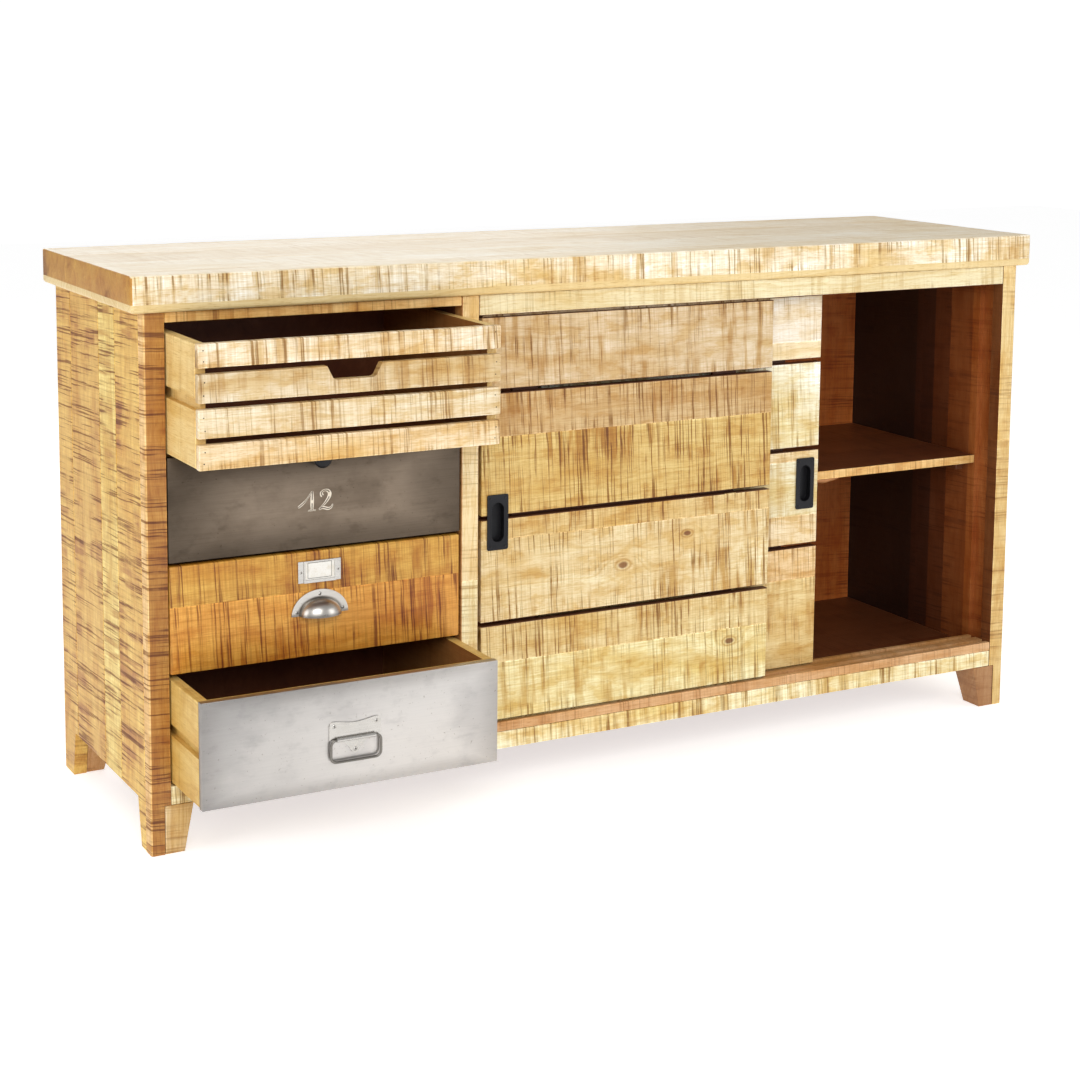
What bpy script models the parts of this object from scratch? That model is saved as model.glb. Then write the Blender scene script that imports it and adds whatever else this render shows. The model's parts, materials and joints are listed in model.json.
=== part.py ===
"""Sideboard buffet in rough-sawn mango wood: four drawers on side runners on the left, two sliding
plank doors in front of a shelved bay on the right. Metres, +Z up, front towards -Y.

Every length below can be set by itself; what fits in, beside or on another piece is worked out.
The cabinet's own frame starts at its front left bottom corner, X right, Y back, Z up."""

import math

import bmesh
import bpy
from mathutils import Matrix, Vector

# Whole cabinet
SLAB_LENGTH = 1.600
SLAB_DEPTH = 0.441
SLAB_THICK = 0.0535
SLAB_OVER_END = 0.0205
SLAB_OVER_FRONT = 0.0105
SLAB_ROUND_LOW = 0.012
SLAB_ROUND_TOP = 0.003
BODY_HEIGHT = 0.7793
FIT = 0.0003

# Posts, side panels, partition, legs
SIDE_THICK = 0.030
POST_DEPTH = 0.025
POST_ARRIS = 0.004
CENTRE_POST_WIDTH = 0.029
DRAWER_BAY_WIDTH = 0.460
LEG_HEIGHT = 0.0720
LEG_SKIN = 0.0206
LEG_TOP_WIDTH = 0.0640
LEG_TOP_DEPTH = 0.0588
LEG_FOOT_WIDTH = 0.0500
LEG_FOOT_DEPTH = 0.0430
SIDE_JOINTS = (0.1340, 0.2120, 0.3550)
JOINT_GROOVE_WIDTH = 0.0014
JOINT_GROOVE_DEPTH = 0.0008

# Rails, floor, back, shelf
LOW_RAIL_HEIGHT = 0.0275
LOW_RAIL_DEPTH = 0.022
DRAWER_RAIL_HEIGHT = 0.0145
HEAD_HEIGHT = 0.0310
SILL_HEIGHT = 0.0153
TRACK_DEPTH = 0.058
TRACK_GROOVE_WIDTH = 0.0125
TRACK_GROOVE_DEPTH = 0.009
FLOOR_THICK = 0.016
BACK_THICK = 0.012
BACK_INSET = 0.006
BACK_BOARDS = 8
SHELF_TOP = 0.4400
SHELF_THICK = 0.0145
CLEAT_SIZE = 0.016
CLEAT_SETBACK = 0.030

# Drawers, top one first
DRAWER_HEIGHTS = (0.1735, 0.1510, 0.1575, 0.1535)  # shares of the room between floor and top rail
DRAWER_GAP = 0.0045
DRAWER_GAP_SIDE = 0.002
DRAWER_GAP_LOW = 0.0033
DRAWER_GAP_TOP = 0.0128
DRAWER_FACE_BACK = 0.002
DRAWER_LENGTH = 0.388
DRAWER_OPEN = (0.132, 0.0, 0.0, 0.127)
BOX_BOARD = 0.0155
BOX_LOWER = 0.0015
PANEL_THICK = 0.006
PANEL_LIFT = 0.008
PANEL_LET_IN = 0.006
RUN_GROOVE_HEIGHT = 0.0164
RUN_GROOVE_DEPTH = 0.008
RUN_ABOVE_MIDDLE = 0.003
RUNNER_CLEAR = 0.0010
RUNNER_CLEAR_TOP = 0.0004
RUNNER_BACK = 0.012
SLAT_THICK = 0.014
SLAT_HEIGHTS = (0.0340, 0.0405, 0.0405, 0.0360)  # shares of the top drawer's height
SLAT_GAP = 0.0075
SLAT_ROUND = 0.0022
NOTCH_TOP = 0.083
NOTCH_LOW = 0.052
NOTCH_DEPTH = 0.020
FRONT_THICK = 0.019
FRONT_ROUND = 0.003
SHEET_THICK = 0.0012
SHEET_RETURN = 0.012
SHEET_ROUND = 0.0012

# Sliding doors
DOOR_FACE = 0.004
DOOR_PITCH = 0.0285
DOOR_OVERLAP = 0.049
DOOR_AT_POST = 0.0065
REAR_DOOR_SHOWS = 0.117
DOOR_GAP_TOP = 0.0037
DOOR_GAP_LOW = 0.0022
DOOR_BOARD = 0.016
DOOR_BOARD_GAP = 0.0055
FRONT_DOOR_BOARDS = (0.1108, 0.1885, 0.1602, 0.1510)  # shares of the door's height, top first
REAR_DOOR_BOARDS = (0.1057, 0.1422, 0.1588, 0.2038)
TONGUE_THICK = 0.0100
TONGUE_SETBACK = 0.0060
TONGUE_CLEAR = 0.0015
BATTEN_THICK = 0.0060
BATTEN_WIDTH = 0.045
BATTEN_INSET = 0.060
BATTEN_SHORT = 0.012

# Handles
FLUSH_WIDTH = 0.036
FLUSH_HEIGHT = 0.086
FLUSH_PLATE = 0.0014
FLUSH_EDGE = 0.0275
FLUSH_BELOW_MIDDLE = 0.0015
FLUSH_ROUND = 0.003
FLUSH_CUP_WIDTH = 0.021
FLUSH_CUP_HEIGHT = 0.061
FLUSH_CUP_DEPTH = 0.0105
FLUSH_WALL = 0.0012
KNOB_RADIUS = 0.0140
KNOB_OUT = 0.022
KNOB_STEM = 0.0065
KNOB_BELOW_TOP = 0.0175
CUP_WIDTH = 0.089
CUP_HEIGHT = 0.0370
CUP_FLANGE = 0.0115
CUP_FLANGE_THICK = 0.0016
CUP_OUT = 0.026
CUP_WALL = 0.0014
CUP_BELOW_LABEL = 0.01105
LABEL_WIDTH = 0.067
LABEL_HEIGHT = 0.0325
LABEL_BELOW_TOP = 0.0142
LABEL_PLATE = 0.0010
LABEL_FRAME = 0.0026
LABEL_EAR = 0.0085
LABEL_RIM = 0.0020
LABEL_RIM_LOW = 0.0043
LABEL_SLOT = 0.0009
PLATE_WIDTH = 0.080
PLATE_TALL = 0.0265
PLATE_DIP = 0.0044
PLATE_CORNER = 0.007
PLATE_THICK = 0.0014
TAB_WIDTH = 0.058
TAB_DROP = 0.0235
TAB_RADIUS = 0.0063
BAIL_WIDTH = 0.081
BAIL_DROP = 0.0325
BAIL_WIRE = 0.0020
BAIL_CORNER = 0.0085
BAIL_OUT = 0.0042
BAIL_CLEAR = 0.0003
BAIL_SPLIT = 0.008
BARREL_WALL = 0.0008
HANDLE_AXIS = 0.0728

# Sizes that follow
BODY_WIDTH = SLAB_LENGTH - 2 * SLAB_OVER_END
BODY_DEPTH = SLAB_DEPTH - SLAB_OVER_FRONT
POST_X = SIDE_THICK + DRAWER_BAY_WIDTH
DOOR_POCKET_DEPTH = SIDE_THICK - LEG_SKIN
BAY_LEFT = POST_X + CENTRE_POST_WIDTH
BAY_RIGHT = BODY_WIDTH - SIDE_THICK
FLOOR_TOP = LEG_HEIGHT + LOW_RAIL_HEIGHT
BACK_FACE = BODY_DEPTH - BACK_INSET - BACK_THICK
SILL_TOP = FLOOR_TOP + FIT + SILL_HEIGHT
HEAD_LOW = BODY_HEIGHT - HEAD_HEIGHT
RAIL_LOW = BODY_HEIGHT - DRAWER_RAIL_HEIGHT
DOOR_LOW = SILL_TOP + DOOR_GAP_LOW
DOOR_HIGH = HEAD_LOW - DOOR_GAP_TOP
FLUSH_CENTRE = (DOOR_LOW + DOOR_HIGH) / 2 - FLUSH_BELOW_MIDDLE
DOOR_WIDTH = (BAY_RIGHT - BAY_LEFT + DOOR_OVERLAP) / 2
DRAWER_WIDTH = DRAWER_BAY_WIDTH - 2 * DRAWER_GAP_SIDE
HANDLE_OUT = FIT + BAIL_OUT + BAIL_WIRE + BAIL_CLEAR + BARREL_WALL
DRAWER_REACH = max(DRAWER_OPEN[0], DRAWER_OPEN[3] + HANDLE_OUT) - DRAWER_FACE_BACK
FRONT_Y = (DRAWER_REACH - BODY_DEPTH) / 2

MATERIALS = {
    "pale_wood": ((0.80, 0.62, 0.36), 0.0, 0.62),
    "golden_wood": ((0.62, 0.34, 0.11), 0.0, 0.58),
    "stained_wood": ((0.12, 0.045, 0.02), 0.0, 0.55),
    "gunmetal_sheet": ((0.13, 0.115, 0.10), 1.0, 0.38),
    "steel_sheet": ((0.58, 0.57, 0.56), 1.0, 0.36),
    "black_iron": ((0.02, 0.02, 0.022), 0.6, 0.42),
    "nickel": ((0.78, 0.76, 0.74), 1.0, 0.24),
}


def clear_scene():
    for old in list(bpy.data.objects):
        bpy.data.objects.remove(old, do_unlink=True)


def new_collection(name):
    made = bpy.data.collections.new(name)
    bpy.context.scene.collection.children.link(made)
    return made


def new_material(name):
    colour, metallic, roughness = MATERIALS[name]
    made = bpy.data.materials.new(name)
    made.use_nodes = True
    shader = made.node_tree.nodes["Principled BSDF"]
    shader.inputs["Base Color"].default_value = (*colour, 1.0)
    shader.inputs["Metallic"].default_value = metallic
    shader.inputs["Roughness"].default_value = roughness
    made.diffuse_color = (*colour, 1.0)
    return made


clear_scene()
parts = new_collection("sideboard_buffet")
cutters = new_collection("cutters")
finishes = {name: new_material(name) for name in MATERIALS}


def new_empty(name, place, parent=None):
    made = bpy.data.objects.new(name, None)
    made.empty_display_size = 0.05
    made.location = place
    made.parent = parent
    parts.objects.link(made)
    return made


def new_object(name, mesh_data, finish, parent):
    """A mesh object with its finish; a finish of None makes it a hidden cutter."""
    made = bpy.data.objects.new(name, mesh_data)
    made.parent = parent
    if finish is None:
        made.hide_render = True
        made.display_type = "WIRE"
        cutters.objects.link(made)
    else:
        mesh_data.materials.append(finishes[finish])
        parts.objects.link(made)
    return made


def from_bmesh(name, shape, finish, parent, place=(0, 0, 0)):
    data = bpy.data.meshes.new(name)
    bmesh.ops.recalc_face_normals(shape, faces=shape.faces)
    shape.to_mesh(data)
    shape.free()
    made = new_object(name, data, finish, parent)
    made.location = place
    return made


def add_block(shape, low, high):
    """Adds a box between two corners to a bmesh."""
    low, high = Vector(low), Vector(high)
    size = high - low
    turn = Matrix.Translation((low + high) / 2) @ Matrix.Diagonal((*size, 1.0))
    bmesh.ops.create_cube(shape, size=1.0, matrix=turn)


def ease(made, width, steps=1):
    if width > 0:
        edge = made.modifiers.new("eased_edges", "BEVEL")
        edge.width = width
        edge.segments = steps
        edge.limit_method = "ANGLE"
    return made


def board(name, finish, parent, low, high, arris=0.0, steps=1):
    """A board between two corners of its parent's frame, its origin at its middle."""
    low, high = Vector(low), Vector(high)
    middle = (low + high) / 2
    shape = bmesh.new()
    add_block(shape, low - middle, high - middle)
    return ease(from_bmesh(name, shape, finish, parent, middle), arris, steps)


def blocks(name, finish, parent, corners):
    """Several boxes in one mesh: a cutter, or boards that a union joins."""
    shape = bmesh.new()
    for low, high in corners:
        add_block(shape, low, high)
    return from_bmesh(name, shape, finish, parent)


def combine(made, other, how):
    step = made.modifiers.new(how.lower() + "_" + other.name, "BOOLEAN")
    step.operation = how
    step.object = other
    step.solver = "EXACT"
    return made


def cut(made, *others):
    for other in others:
        combine(made, other, "DIFFERENCE")
    return made


def join(made, *others):
    for other in others:
        combine(made, other, "UNION")
    return made


def extrude_outline(name, finish, parent, points, low, high, place=(0, 0, 0)):
    """A flat outline of (x, z) points made solid from y = low to y = high."""
    shape = bmesh.new()
    corners = [shape.verts.new((x, low, z)) for x, z in points]
    face = shape.faces.new(corners)
    grown = bmesh.ops.extrude_face_region(shape, geom=[face])
    moved = [item for item in grown["geom"] if isinstance(item, bmesh.types.BMVert)]
    bmesh.ops.translate(shape, vec=(0, high - low, 0), verts=moved)
    return from_bmesh(name, shape, finish, parent, place)


def arc(centre, radii, start, end, steps):
    """Points (x, z) on an arc, from one angle to another in degrees."""
    (x, z), (across, up) = centre, radii
    turns = [math.radians(start + (end - start) * i / steps) for i in range(steps + 1)]
    return [(x + across * math.cos(t), z + up * math.sin(t)) for t in turns]


def round_box(width, height, radius, steps=3):
    """Outline of a rectangle with round corners about the origin."""
    across, up = width / 2 - radius, height / 2 - radius
    points = []
    for (x, z), turn in (((across, up), 0), ((-across, up), 90), ((-across, -up), 180), ((across, -up), 270)):
        points += arc((x, z), (radius, radius), turn, turn + 90, steps)
    return points


def shade_round(made):
    made.data.shade_smooth()
    made.data.set_sharp_from_angle(angle=math.radians(35))


# --- Carcass -------------------------------------------------------------------------------------

cabinet = new_empty("cabinet", (-BODY_WIDTH / 2, FRONT_Y, 0))


def make_slab():
    """The thick top. Its lower edges are rounded more than its upper ones."""
    low = Vector((-SLAB_OVER_END, -SLAB_OVER_FRONT, BODY_HEIGHT + FIT))
    high = Vector((BODY_WIDTH + SLAB_OVER_END, BODY_DEPTH, BODY_HEIGHT + SLAB_THICK))
    middle = (low + high) / 2
    shape = bmesh.new()
    add_block(shape, low - middle, high - middle)
    upright = [e for e in shape.edges if abs(e.verts[0].co.z - e.verts[1].co.z) > SLAB_THICK / 2]
    bmesh.ops.bevel(shape, geom=upright, offset=SLAB_ROUND_LOW / 2, segments=3,
                    profile=0.5, affect="EDGES")
    for round_off, side in ((SLAB_ROUND_LOW, -1), (SLAB_ROUND_TOP, 1)):
        rim = [e for e in shape.edges if all(v.co.z * side > SLAB_THICK / 4 for v in e.verts)]
        bmesh.ops.bevel(shape, geom=rim, offset=round_off, segments=3,
                        profile=0.5, affect="EDGES", clamp_overlap=True)
    shade_round(from_bmesh("top_slab", shape, "pale_wood", cabinet, middle))


def tapered_leg(name, finish, wide_low, wide_high, deep_low, deep_high, fixed, height):
    """A leg whose top is larger than its foot. fixed says which X and Y sides stay upright."""
    shape = bmesh.new()
    add_block(shape, (wide_high[0], deep_high[0], 0), (wide_high[1], deep_high[1], height))
    for vert in shape.verts:
        if vert.co.z > height / 2:
            continue
        if fixed[0] == "low" and vert.co.x > sum(wide_high) / 2:
            vert.co.x = wide_low
        if fixed[0] == "high" and vert.co.x < sum(wide_high) / 2:
            vert.co.x = wide_low
        if fixed[1] == "low" and vert.co.y > sum(deep_high) / 2:
            vert.co.y = deep_low
        if fixed[1] == "high" and vert.co.y < sum(deep_high) / 2:
            vert.co.y = deep_low
    return from_bmesh(name, shape, finish, cabinet)


def make_feet():
    """Four foot blocks inside the legs' outer skins, tapered on their two inner faces."""
    for side in ("left", "right"):
        for end in ("front", "back"):
            x_top = (LEG_SKIN + FIT, LEG_TOP_WIDTH)
            x_foot = LEG_FOOT_WIDTH
            y_top = (0.0, LEG_TOP_DEPTH)
            y_foot = LEG_FOOT_DEPTH
            if side == "right":
                x_top = (BODY_WIDTH - LEG_TOP_WIDTH, BODY_WIDTH - LEG_SKIN - FIT)
                x_foot = BODY_WIDTH - LEG_FOOT_WIDTH
            if end == "back":
                y_top = (BODY_DEPTH - LEG_TOP_DEPTH, BODY_DEPTH)
                y_foot = BODY_DEPTH - LEG_FOOT_DEPTH
            fixed = ("low" if side == "left" else "high", "low" if end == "front" else "high")
            foot = tapered_leg(f"foot_{end}_{side}", "pale_wood", x_foot, x_top, y_foot, y_top,
                               fixed, LEG_HEIGHT - FIT)
            ease(foot, 0.0008)


def skin_span(side):
    """The X span of the thin outer part of a leg."""
    return (0.0, LEG_SKIN) if side == "left" else (BODY_WIDTH - LEG_SKIN, BODY_WIDTH)


def make_posts():
    """Corner posts, notched at the bottom over the foot blocks, and the post between the bays."""
    for side in ("left", "right"):
        x = (0.0, SIDE_THICK) if side == "left" else (BODY_WIDTH - SIDE_THICK, BODY_WIDTH)
        outer = skin_span(side)
        post = board(f"post_front_{side}", "pale_wood", cabinet,
                     (x[0], 0, 0), (x[1], POST_DEPTH, BODY_HEIGHT))
        bevel_post(post, side)
        inner = (outer[1], x[1] + 0.01) if side == "left" else (x[0] - 0.01, outer[0])
        notch = blocks(f"post_notch_{side}", None, cabinet,
                       [((inner[0], -0.01, -0.01), (inner[1], POST_DEPTH + 0.01, LEG_HEIGHT))])
        cut(post, notch)
    board("post_centre", "pale_wood", cabinet, (POST_X, 0, FLOOR_TOP + FIT),
          (BAY_LEFT, POST_DEPTH, BODY_HEIGHT), 0.0012)


def bevel_post(post, side):
    """Rounds only the post's outer front arris, which the hand meets."""
    outward = -1 if side == "left" else 1
    shape = bmesh.new()
    shape.from_mesh(post.data)
    arris = [e for e in shape.edges
             if all(v.co.x * outward > 0 and v.co.y < 0 for v in e.verts)]
    bmesh.ops.bevel(shape, geom=arris, offset=POST_ARRIS, segments=3, profile=0.5, affect="EDGES")
    shape.to_mesh(post.data)
    shape.free()
    shade_round(post)


def make_sides():
    """Glued-up side panels. Each keeps a leg at both ends, and the right one has a pocket that
    lets the rear door close behind the post."""
    back_leg = BODY_DEPTH - LEG_TOP_DEPTH
    for side in ("left", "right"):
        outward = -1 if side == "left" else 1
        x = (0.0, SIDE_THICK) if side == "left" else (BODY_WIDTH - SIDE_THICK, BODY_WIDTH)
        outer = skin_span(side)
        upper = board(f"side_{side}", "pale_wood", cabinet,
                      (x[0], POST_DEPTH + FIT, 0), (x[1], BODY_DEPTH, BODY_HEIGHT), 0.001)
        inner = (outer[1], x[1] + 0.01) if side == "left" else (x[0] - 0.01, outer[0])
        room = blocks(f"side_notch_{side}", None, cabinet,
                      [((inner[0], POST_DEPTH - 0.01, -0.01), (inner[1], BODY_DEPTH + 0.01, LEG_HEIGHT))])
        outline = [(LEG_FOOT_DEPTH, -0.01), (LEG_TOP_DEPTH, LEG_HEIGHT),
                   (back_leg, LEG_HEIGHT), (BODY_DEPTH - LEG_FOOT_DEPTH, -0.01)]
        arch = extrude_side(f"side_arch_{side}", outline, x[0] - 0.01, x[1] + 0.01)
        face = x[0] if side == "left" else x[1]
        width, depth = JOINT_GROOVE_WIDTH / 2, JOINT_GROOVE_DEPTH
        edges = sorted((face - outward * depth, face + outward * 0.01))
        grooves = blocks(f"side_joints_{side}", None, cabinet,
                         [((edges[0], y - width, -0.02), (edges[1], y + width, BODY_HEIGHT + 0.01))
                          for y in SIDE_JOINTS])
        cut(upper, room, arch, grooves)
        if side == "right":
            pocket = blocks("door_pocket", None, cabinet,
                            [((x[0] - 0.01, POST_DEPTH - 0.01, FLOOR_TOP),
                              (x[0] + DOOR_POCKET_DEPTH, TRACK_DEPTH, HEAD_LOW + TRACK_GROOVE_DEPTH))])
            cut(upper, pocket)


def extrude_side(name, points, low, high):
    """A hidden cutter: an outline of (y, z) points made solid from x = low to x = high."""
    shape = bmesh.new()
    face = shape.faces.new([shape.verts.new((low, y, z)) for y, z in points])
    grown = bmesh.ops.extrude_face_region(shape, geom=[face])
    moved = [item for item in grown["geom"] if isinstance(item, bmesh.types.BMVert)]
    bmesh.ops.translate(shape, vec=(high - low, 0, 0), verts=moved)
    return from_bmesh(name, shape, None, cabinet)


def track_grooves(name, low, high):
    """The two grooves that the doors' tongues run in."""
    middle = TONGUE_SETBACK + TONGUE_THICK / 2
    spans = []
    for index in range(2):
        y = DOOR_FACE + index * DOOR_PITCH + middle
        spans.append(((BAY_LEFT - 0.01, y - TRACK_GROOVE_WIDTH / 2, low),
                      (BAY_RIGHT + 0.01, y + TRACK_GROOVE_WIDTH / 2, high)))
    return blocks(name, None, cabinet, spans)


def make_frame():
    inside = SIDE_THICK + FIT
    far = BODY_WIDTH - SIDE_THICK - FIT
    board("rail_bottom", "pale_wood", cabinet, (inside, 0, LEG_HEIGHT),
          (far, LOW_RAIL_DEPTH, FLOOR_TOP), 0.001)
    board("rail_top_drawers", "pale_wood", cabinet, (inside, 0, RAIL_LOW),
          (POST_X - FIT, POST_DEPTH, BODY_HEIGHT), 0.001)
    head = board("rail_top_doors", "pale_wood", cabinet, (BAY_LEFT + FIT, 0, HEAD_LOW),
                 (far, TRACK_DEPTH, BODY_HEIGHT), 0.001)
    cut(head, track_grooves("head_grooves", HEAD_LOW - 0.01, HEAD_LOW + TRACK_GROOVE_DEPTH))
    sill = board("sill_track", "pale_wood", cabinet, (BAY_LEFT + FIT, 0, FLOOR_TOP + FIT),
                 (far, TRACK_DEPTH, SILL_TOP), 0.0008)
    cut(sill, track_grooves("sill_grooves", SILL_TOP - TRACK_GROOVE_DEPTH, SILL_TOP + 0.01))
    board("floor_panel", "stained_wood", cabinet,
          (inside, LOW_RAIL_DEPTH + FIT, FLOOR_TOP - FLOOR_THICK), (far, BACK_FACE - FIT, FLOOR_TOP))
    board("partition", "stained_wood", cabinet, (POST_X, POST_DEPTH + FIT, FLOOR_TOP + FIT),
          (BAY_LEFT, BACK_FACE - FIT, BODY_HEIGHT))


def make_back():
    """One panel of tongued boards, whose joints show as grooves behind."""
    low = Vector((SIDE_THICK + FIT, BACK_FACE, FLOOR_TOP - FLOOR_THICK))
    high = Vector((BODY_WIDTH - SIDE_THICK - FIT, BACK_FACE + BACK_THICK, BODY_HEIGHT))
    back = board("back_panel", "stained_wood", cabinet, low, high)
    pitch = (high.x - low.x) / BACK_BOARDS
    joints = [low.x + pitch * i for i in range(1, BACK_BOARDS)]
    cut(back, blocks("back_joints", None, cabinet,
                     [((x - 0.0015, high.y - 0.002, low.z - 0.01), (x + 0.0015, high.y + 0.01, high.z + 0.01))
                      for x in joints]))


def make_shelf():
    low_x, high_x = BAY_LEFT + FIT, BAY_RIGHT - FIT
    board("shelf", "stained_wood", cabinet, (low_x, TRACK_DEPTH, SHELF_TOP - SHELF_THICK),
          (high_x, BACK_FACE - FIT, SHELF_TOP), 0.0008)
    high_z = SHELF_TOP - SHELF_THICK - FIT
    for side, x in (("left", low_x), ("right", high_x - CLEAT_SIZE)):
        board(f"shelf_cleat_{side}", "stained_wood", cabinet,
              (x, TRACK_DEPTH + CLEAT_SETBACK, high_z - CLEAT_SIZE),
              (x + CLEAT_SIZE, BACK_FACE - CLEAT_SETBACK, high_z), 0.001)


# --- Drawers -------------------------------------------------------------------------------------


def drawer_spans():
    """(bottom, height) of each drawer, the top drawer first."""
    room = RAIL_LOW - DRAWER_GAP_TOP - FLOOR_TOP - DRAWER_GAP_LOW
    stock = room - DRAWER_GAP * (len(DRAWER_HEIGHTS) - 1)
    heights = [stock * share / sum(DRAWER_HEIGHTS) for share in DRAWER_HEIGHTS]
    spans, top = [], RAIL_LOW - DRAWER_GAP_TOP
    for height in heights:
        spans.append((top - height, height))
        top -= height + DRAWER_GAP
    return spans


def run_height(height):
    """Middle of the runner groove above a drawer's lower edge."""
    return height / 2 + RUN_ABOVE_MIDDLE


def make_box(name, parent, height, start, front_board):
    """A drawer's sides and back, and its front board where a sheet covers it. It has a groove
    outside for the runners and one inside for the bottom."""
    wide, low, high = DRAWER_WIDTH, BOX_LOWER, height - BOX_LOWER
    back = DRAWER_LENGTH
    wall = BOX_BOARD
    box = board(name, "pale_wood", parent, (0, start, low), (wide, back, high), 0.0012)
    hollow_from = start - 0.01 if front_board is None else front_board[1]
    hollow = blocks(name + "_hollow", None, parent,
                    [((wall, hollow_from, low - 0.01), (wide - wall, back - wall, high + 0.01))])
    middle, half = run_height(height), RUN_GROOVE_HEIGHT / 2
    grooves = blocks(name + "_grooves", None, parent, [
        ((-0.01, start - 0.01, middle - half), (RUN_GROOVE_DEPTH, back + 0.01, middle + half)),
        ((wide - RUN_GROOVE_DEPTH, start - 0.01, middle - half), (wide + 0.01, back + 0.01, middle + half)),
    ])
    inner = hollow_from if front_board is None else front_board[1] - PANEL_LET_IN
    slot = blocks(name + "_slot", None, parent,
                  [((wall - PANEL_LET_IN, inner, low + PANEL_LIFT),
                    (wide - wall + PANEL_LET_IN, back - wall + PANEL_LET_IN,
                     low + PANEL_LIFT + PANEL_THICK + 2 * FIT))])
    if front_board is not None:
        inset = SHEET_THICK + FIT
        lining = blocks(name + "_front", None, parent,
                        [((inset, front_board[0], inset), (wide - inset, front_board[1], height - inset))])
        lining.hide_render = True
        join(box, lining)
    cut(box, hollow, grooves, slot)
    panel_start = start if front_board is None else inner
    board(name.replace("box", "bottom"), "stained_wood", parent,
          (wall - PANEL_LET_IN + FIT, panel_start + FIT, low + PANEL_LIFT + FIT),
          (wide - wall + PANEL_LET_IN - FIT, back - wall + PANEL_LET_IN - FIT,
           low + PANEL_LIFT + FIT + PANEL_THICK))
    return box


def make_slats(parent, height):
    """The crate front of the top drawer: four slats, the second with a finger notch."""
    stock = height - SLAT_GAP * (len(SLAT_HEIGHTS) - 1)
    top = height
    for index, share in enumerate(SLAT_HEIGHTS):
        tall = stock * share / sum(SLAT_HEIGHTS)
        slat = board(f"drawer_1_slat_{index + 1}", "pale_wood", parent,
                     (0, 0, top - tall), (DRAWER_WIDTH, SLAT_THICK, top), SLAT_ROUND, 2)
        if index == 1:
            middle, low = DRAWER_WIDTH / 2, top - NOTCH_DEPTH
            outline = [(middle - NOTCH_TOP / 2, top + 0.003), (middle - NOTCH_TOP / 2, top),
                       *arc((middle - NOTCH_LOW / 2, low + 0.006), (0.008, 0.006), 210, 270, 3),
                       *arc((middle + NOTCH_LOW / 2, low + 0.006), (0.008, 0.006), 270, 330, 3),
                       (middle + NOTCH_TOP / 2, top), (middle + NOTCH_TOP / 2, top + 0.003)]
            cut(slat, extrude_outline("finger_notch", None, parent, outline, -0.01, SLAT_THICK + 0.01))
        top -= tall + SLAT_GAP


def make_sheet(name, finish, parent, height):
    """A folded sheet over a drawer's front board: a shallow tray open towards the back."""
    sheet = board(name, finish, parent, (0, 0, 0), (DRAWER_WIDTH, SHEET_RETURN, height), SHEET_ROUND, 2)
    wall = SHEET_THICK
    cut(sheet, blocks(name + "_tray", None, parent,
                      [((wall, wall, wall), (DRAWER_WIDTH - wall, SHEET_RETURN + 0.01, height - wall))]))


def make_knob(parent, height):
    """Turned knob on the second drawer: a neck with a domed head."""
    head = KNOB_RADIUS
    profile = [(0.0, KNOB_OUT)]
    profile += [(head * math.sin(math.radians(a)), KNOB_OUT - head * 0.45 * (1 - math.cos(math.radians(a))))
                for a in (25, 50, 72, 88)]
    profile += [(head * 0.93, KNOB_OUT * 0.52), (KNOB_STEM, KNOB_OUT * 0.40), (KNOB_STEM, 0.004),
                (KNOB_STEM * 1.5, 0.0), (0.0, 0.0)]
    shape = bmesh.new()
    verts = [shape.verts.new((r, 0, z)) for r, z in profile]
    edges = [shape.edges.new(pair) for pair in zip(verts, verts[1:])]
    bmesh.ops.spin(shape, geom=verts + edges, cent=(0, 0, 0), axis=(0, 0, 1), dvec=(0, 0, 0),
                   angle=math.tau, steps=20, use_merge=True)
    bmesh.ops.remove_doubles(shape, verts=shape.verts, dist=0.00002)
    bmesh.ops.rotate(shape, verts=shape.verts, cent=(0, 0, 0), matrix=Matrix.Rotation(math.pi / 2, 3, "X"))
    knob = from_bmesh("drawer_2_knob", shape, "black_iron", parent,
                      (DRAWER_WIDTH / 2, -FIT, height - KNOB_BELOW_TOP))
    shade_round(knob)


def make_label(parent, height):
    """Card holder: a back plate with a raised rim on three sides, open at the top for the card."""
    middle, top = DRAWER_WIDTH / 2, height - LABEL_BELOW_TOP
    low = top - LABEL_HEIGHT
    left, right = middle - LABEL_WIDTH / 2, middle + LABEL_WIDTH / 2
    plate = board("drawer_3_label_holder", "nickel", parent, (left, -FIT - LABEL_PLATE, low),
                  (right, -FIT, top), 0.0003)
    face = -FIT - LABEL_FRAME
    ear, rim = LABEL_EAR, LABEL_RIM
    overlap = -FIT - LABEL_PLATE / 2
    frame = blocks("label_rim", None, parent, [((left + ear, face, low), (right - ear, overlap, top))])
    window = blocks("label_window", None, parent,
                    [((left + ear + rim, face - 0.01, low + LABEL_RIM_LOW),
                      (right - ear - rim, -FIT - LABEL_PLATE, top - rim))])
    slot = blocks("label_slot", None, parent,
                  [((left + ear + rim / 2, -FIT - LABEL_PLATE - LABEL_SLOT, low + LABEL_RIM_LOW - rim / 2),
                    (right - ear - rim / 2, -FIT - LABEL_PLATE, top + 0.01))])
    cut(join(plate, frame), window, slot)


def ellipsoid(name, parent, radii, place):
    shape = bmesh.new()
    bmesh.ops.create_uvsphere(shape, u_segments=28, v_segments=14, radius=1.0,
                              matrix=Matrix.Diagonal((*radii, 1.0)))
    return from_bmesh(name, shape, None, parent, place)


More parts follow.
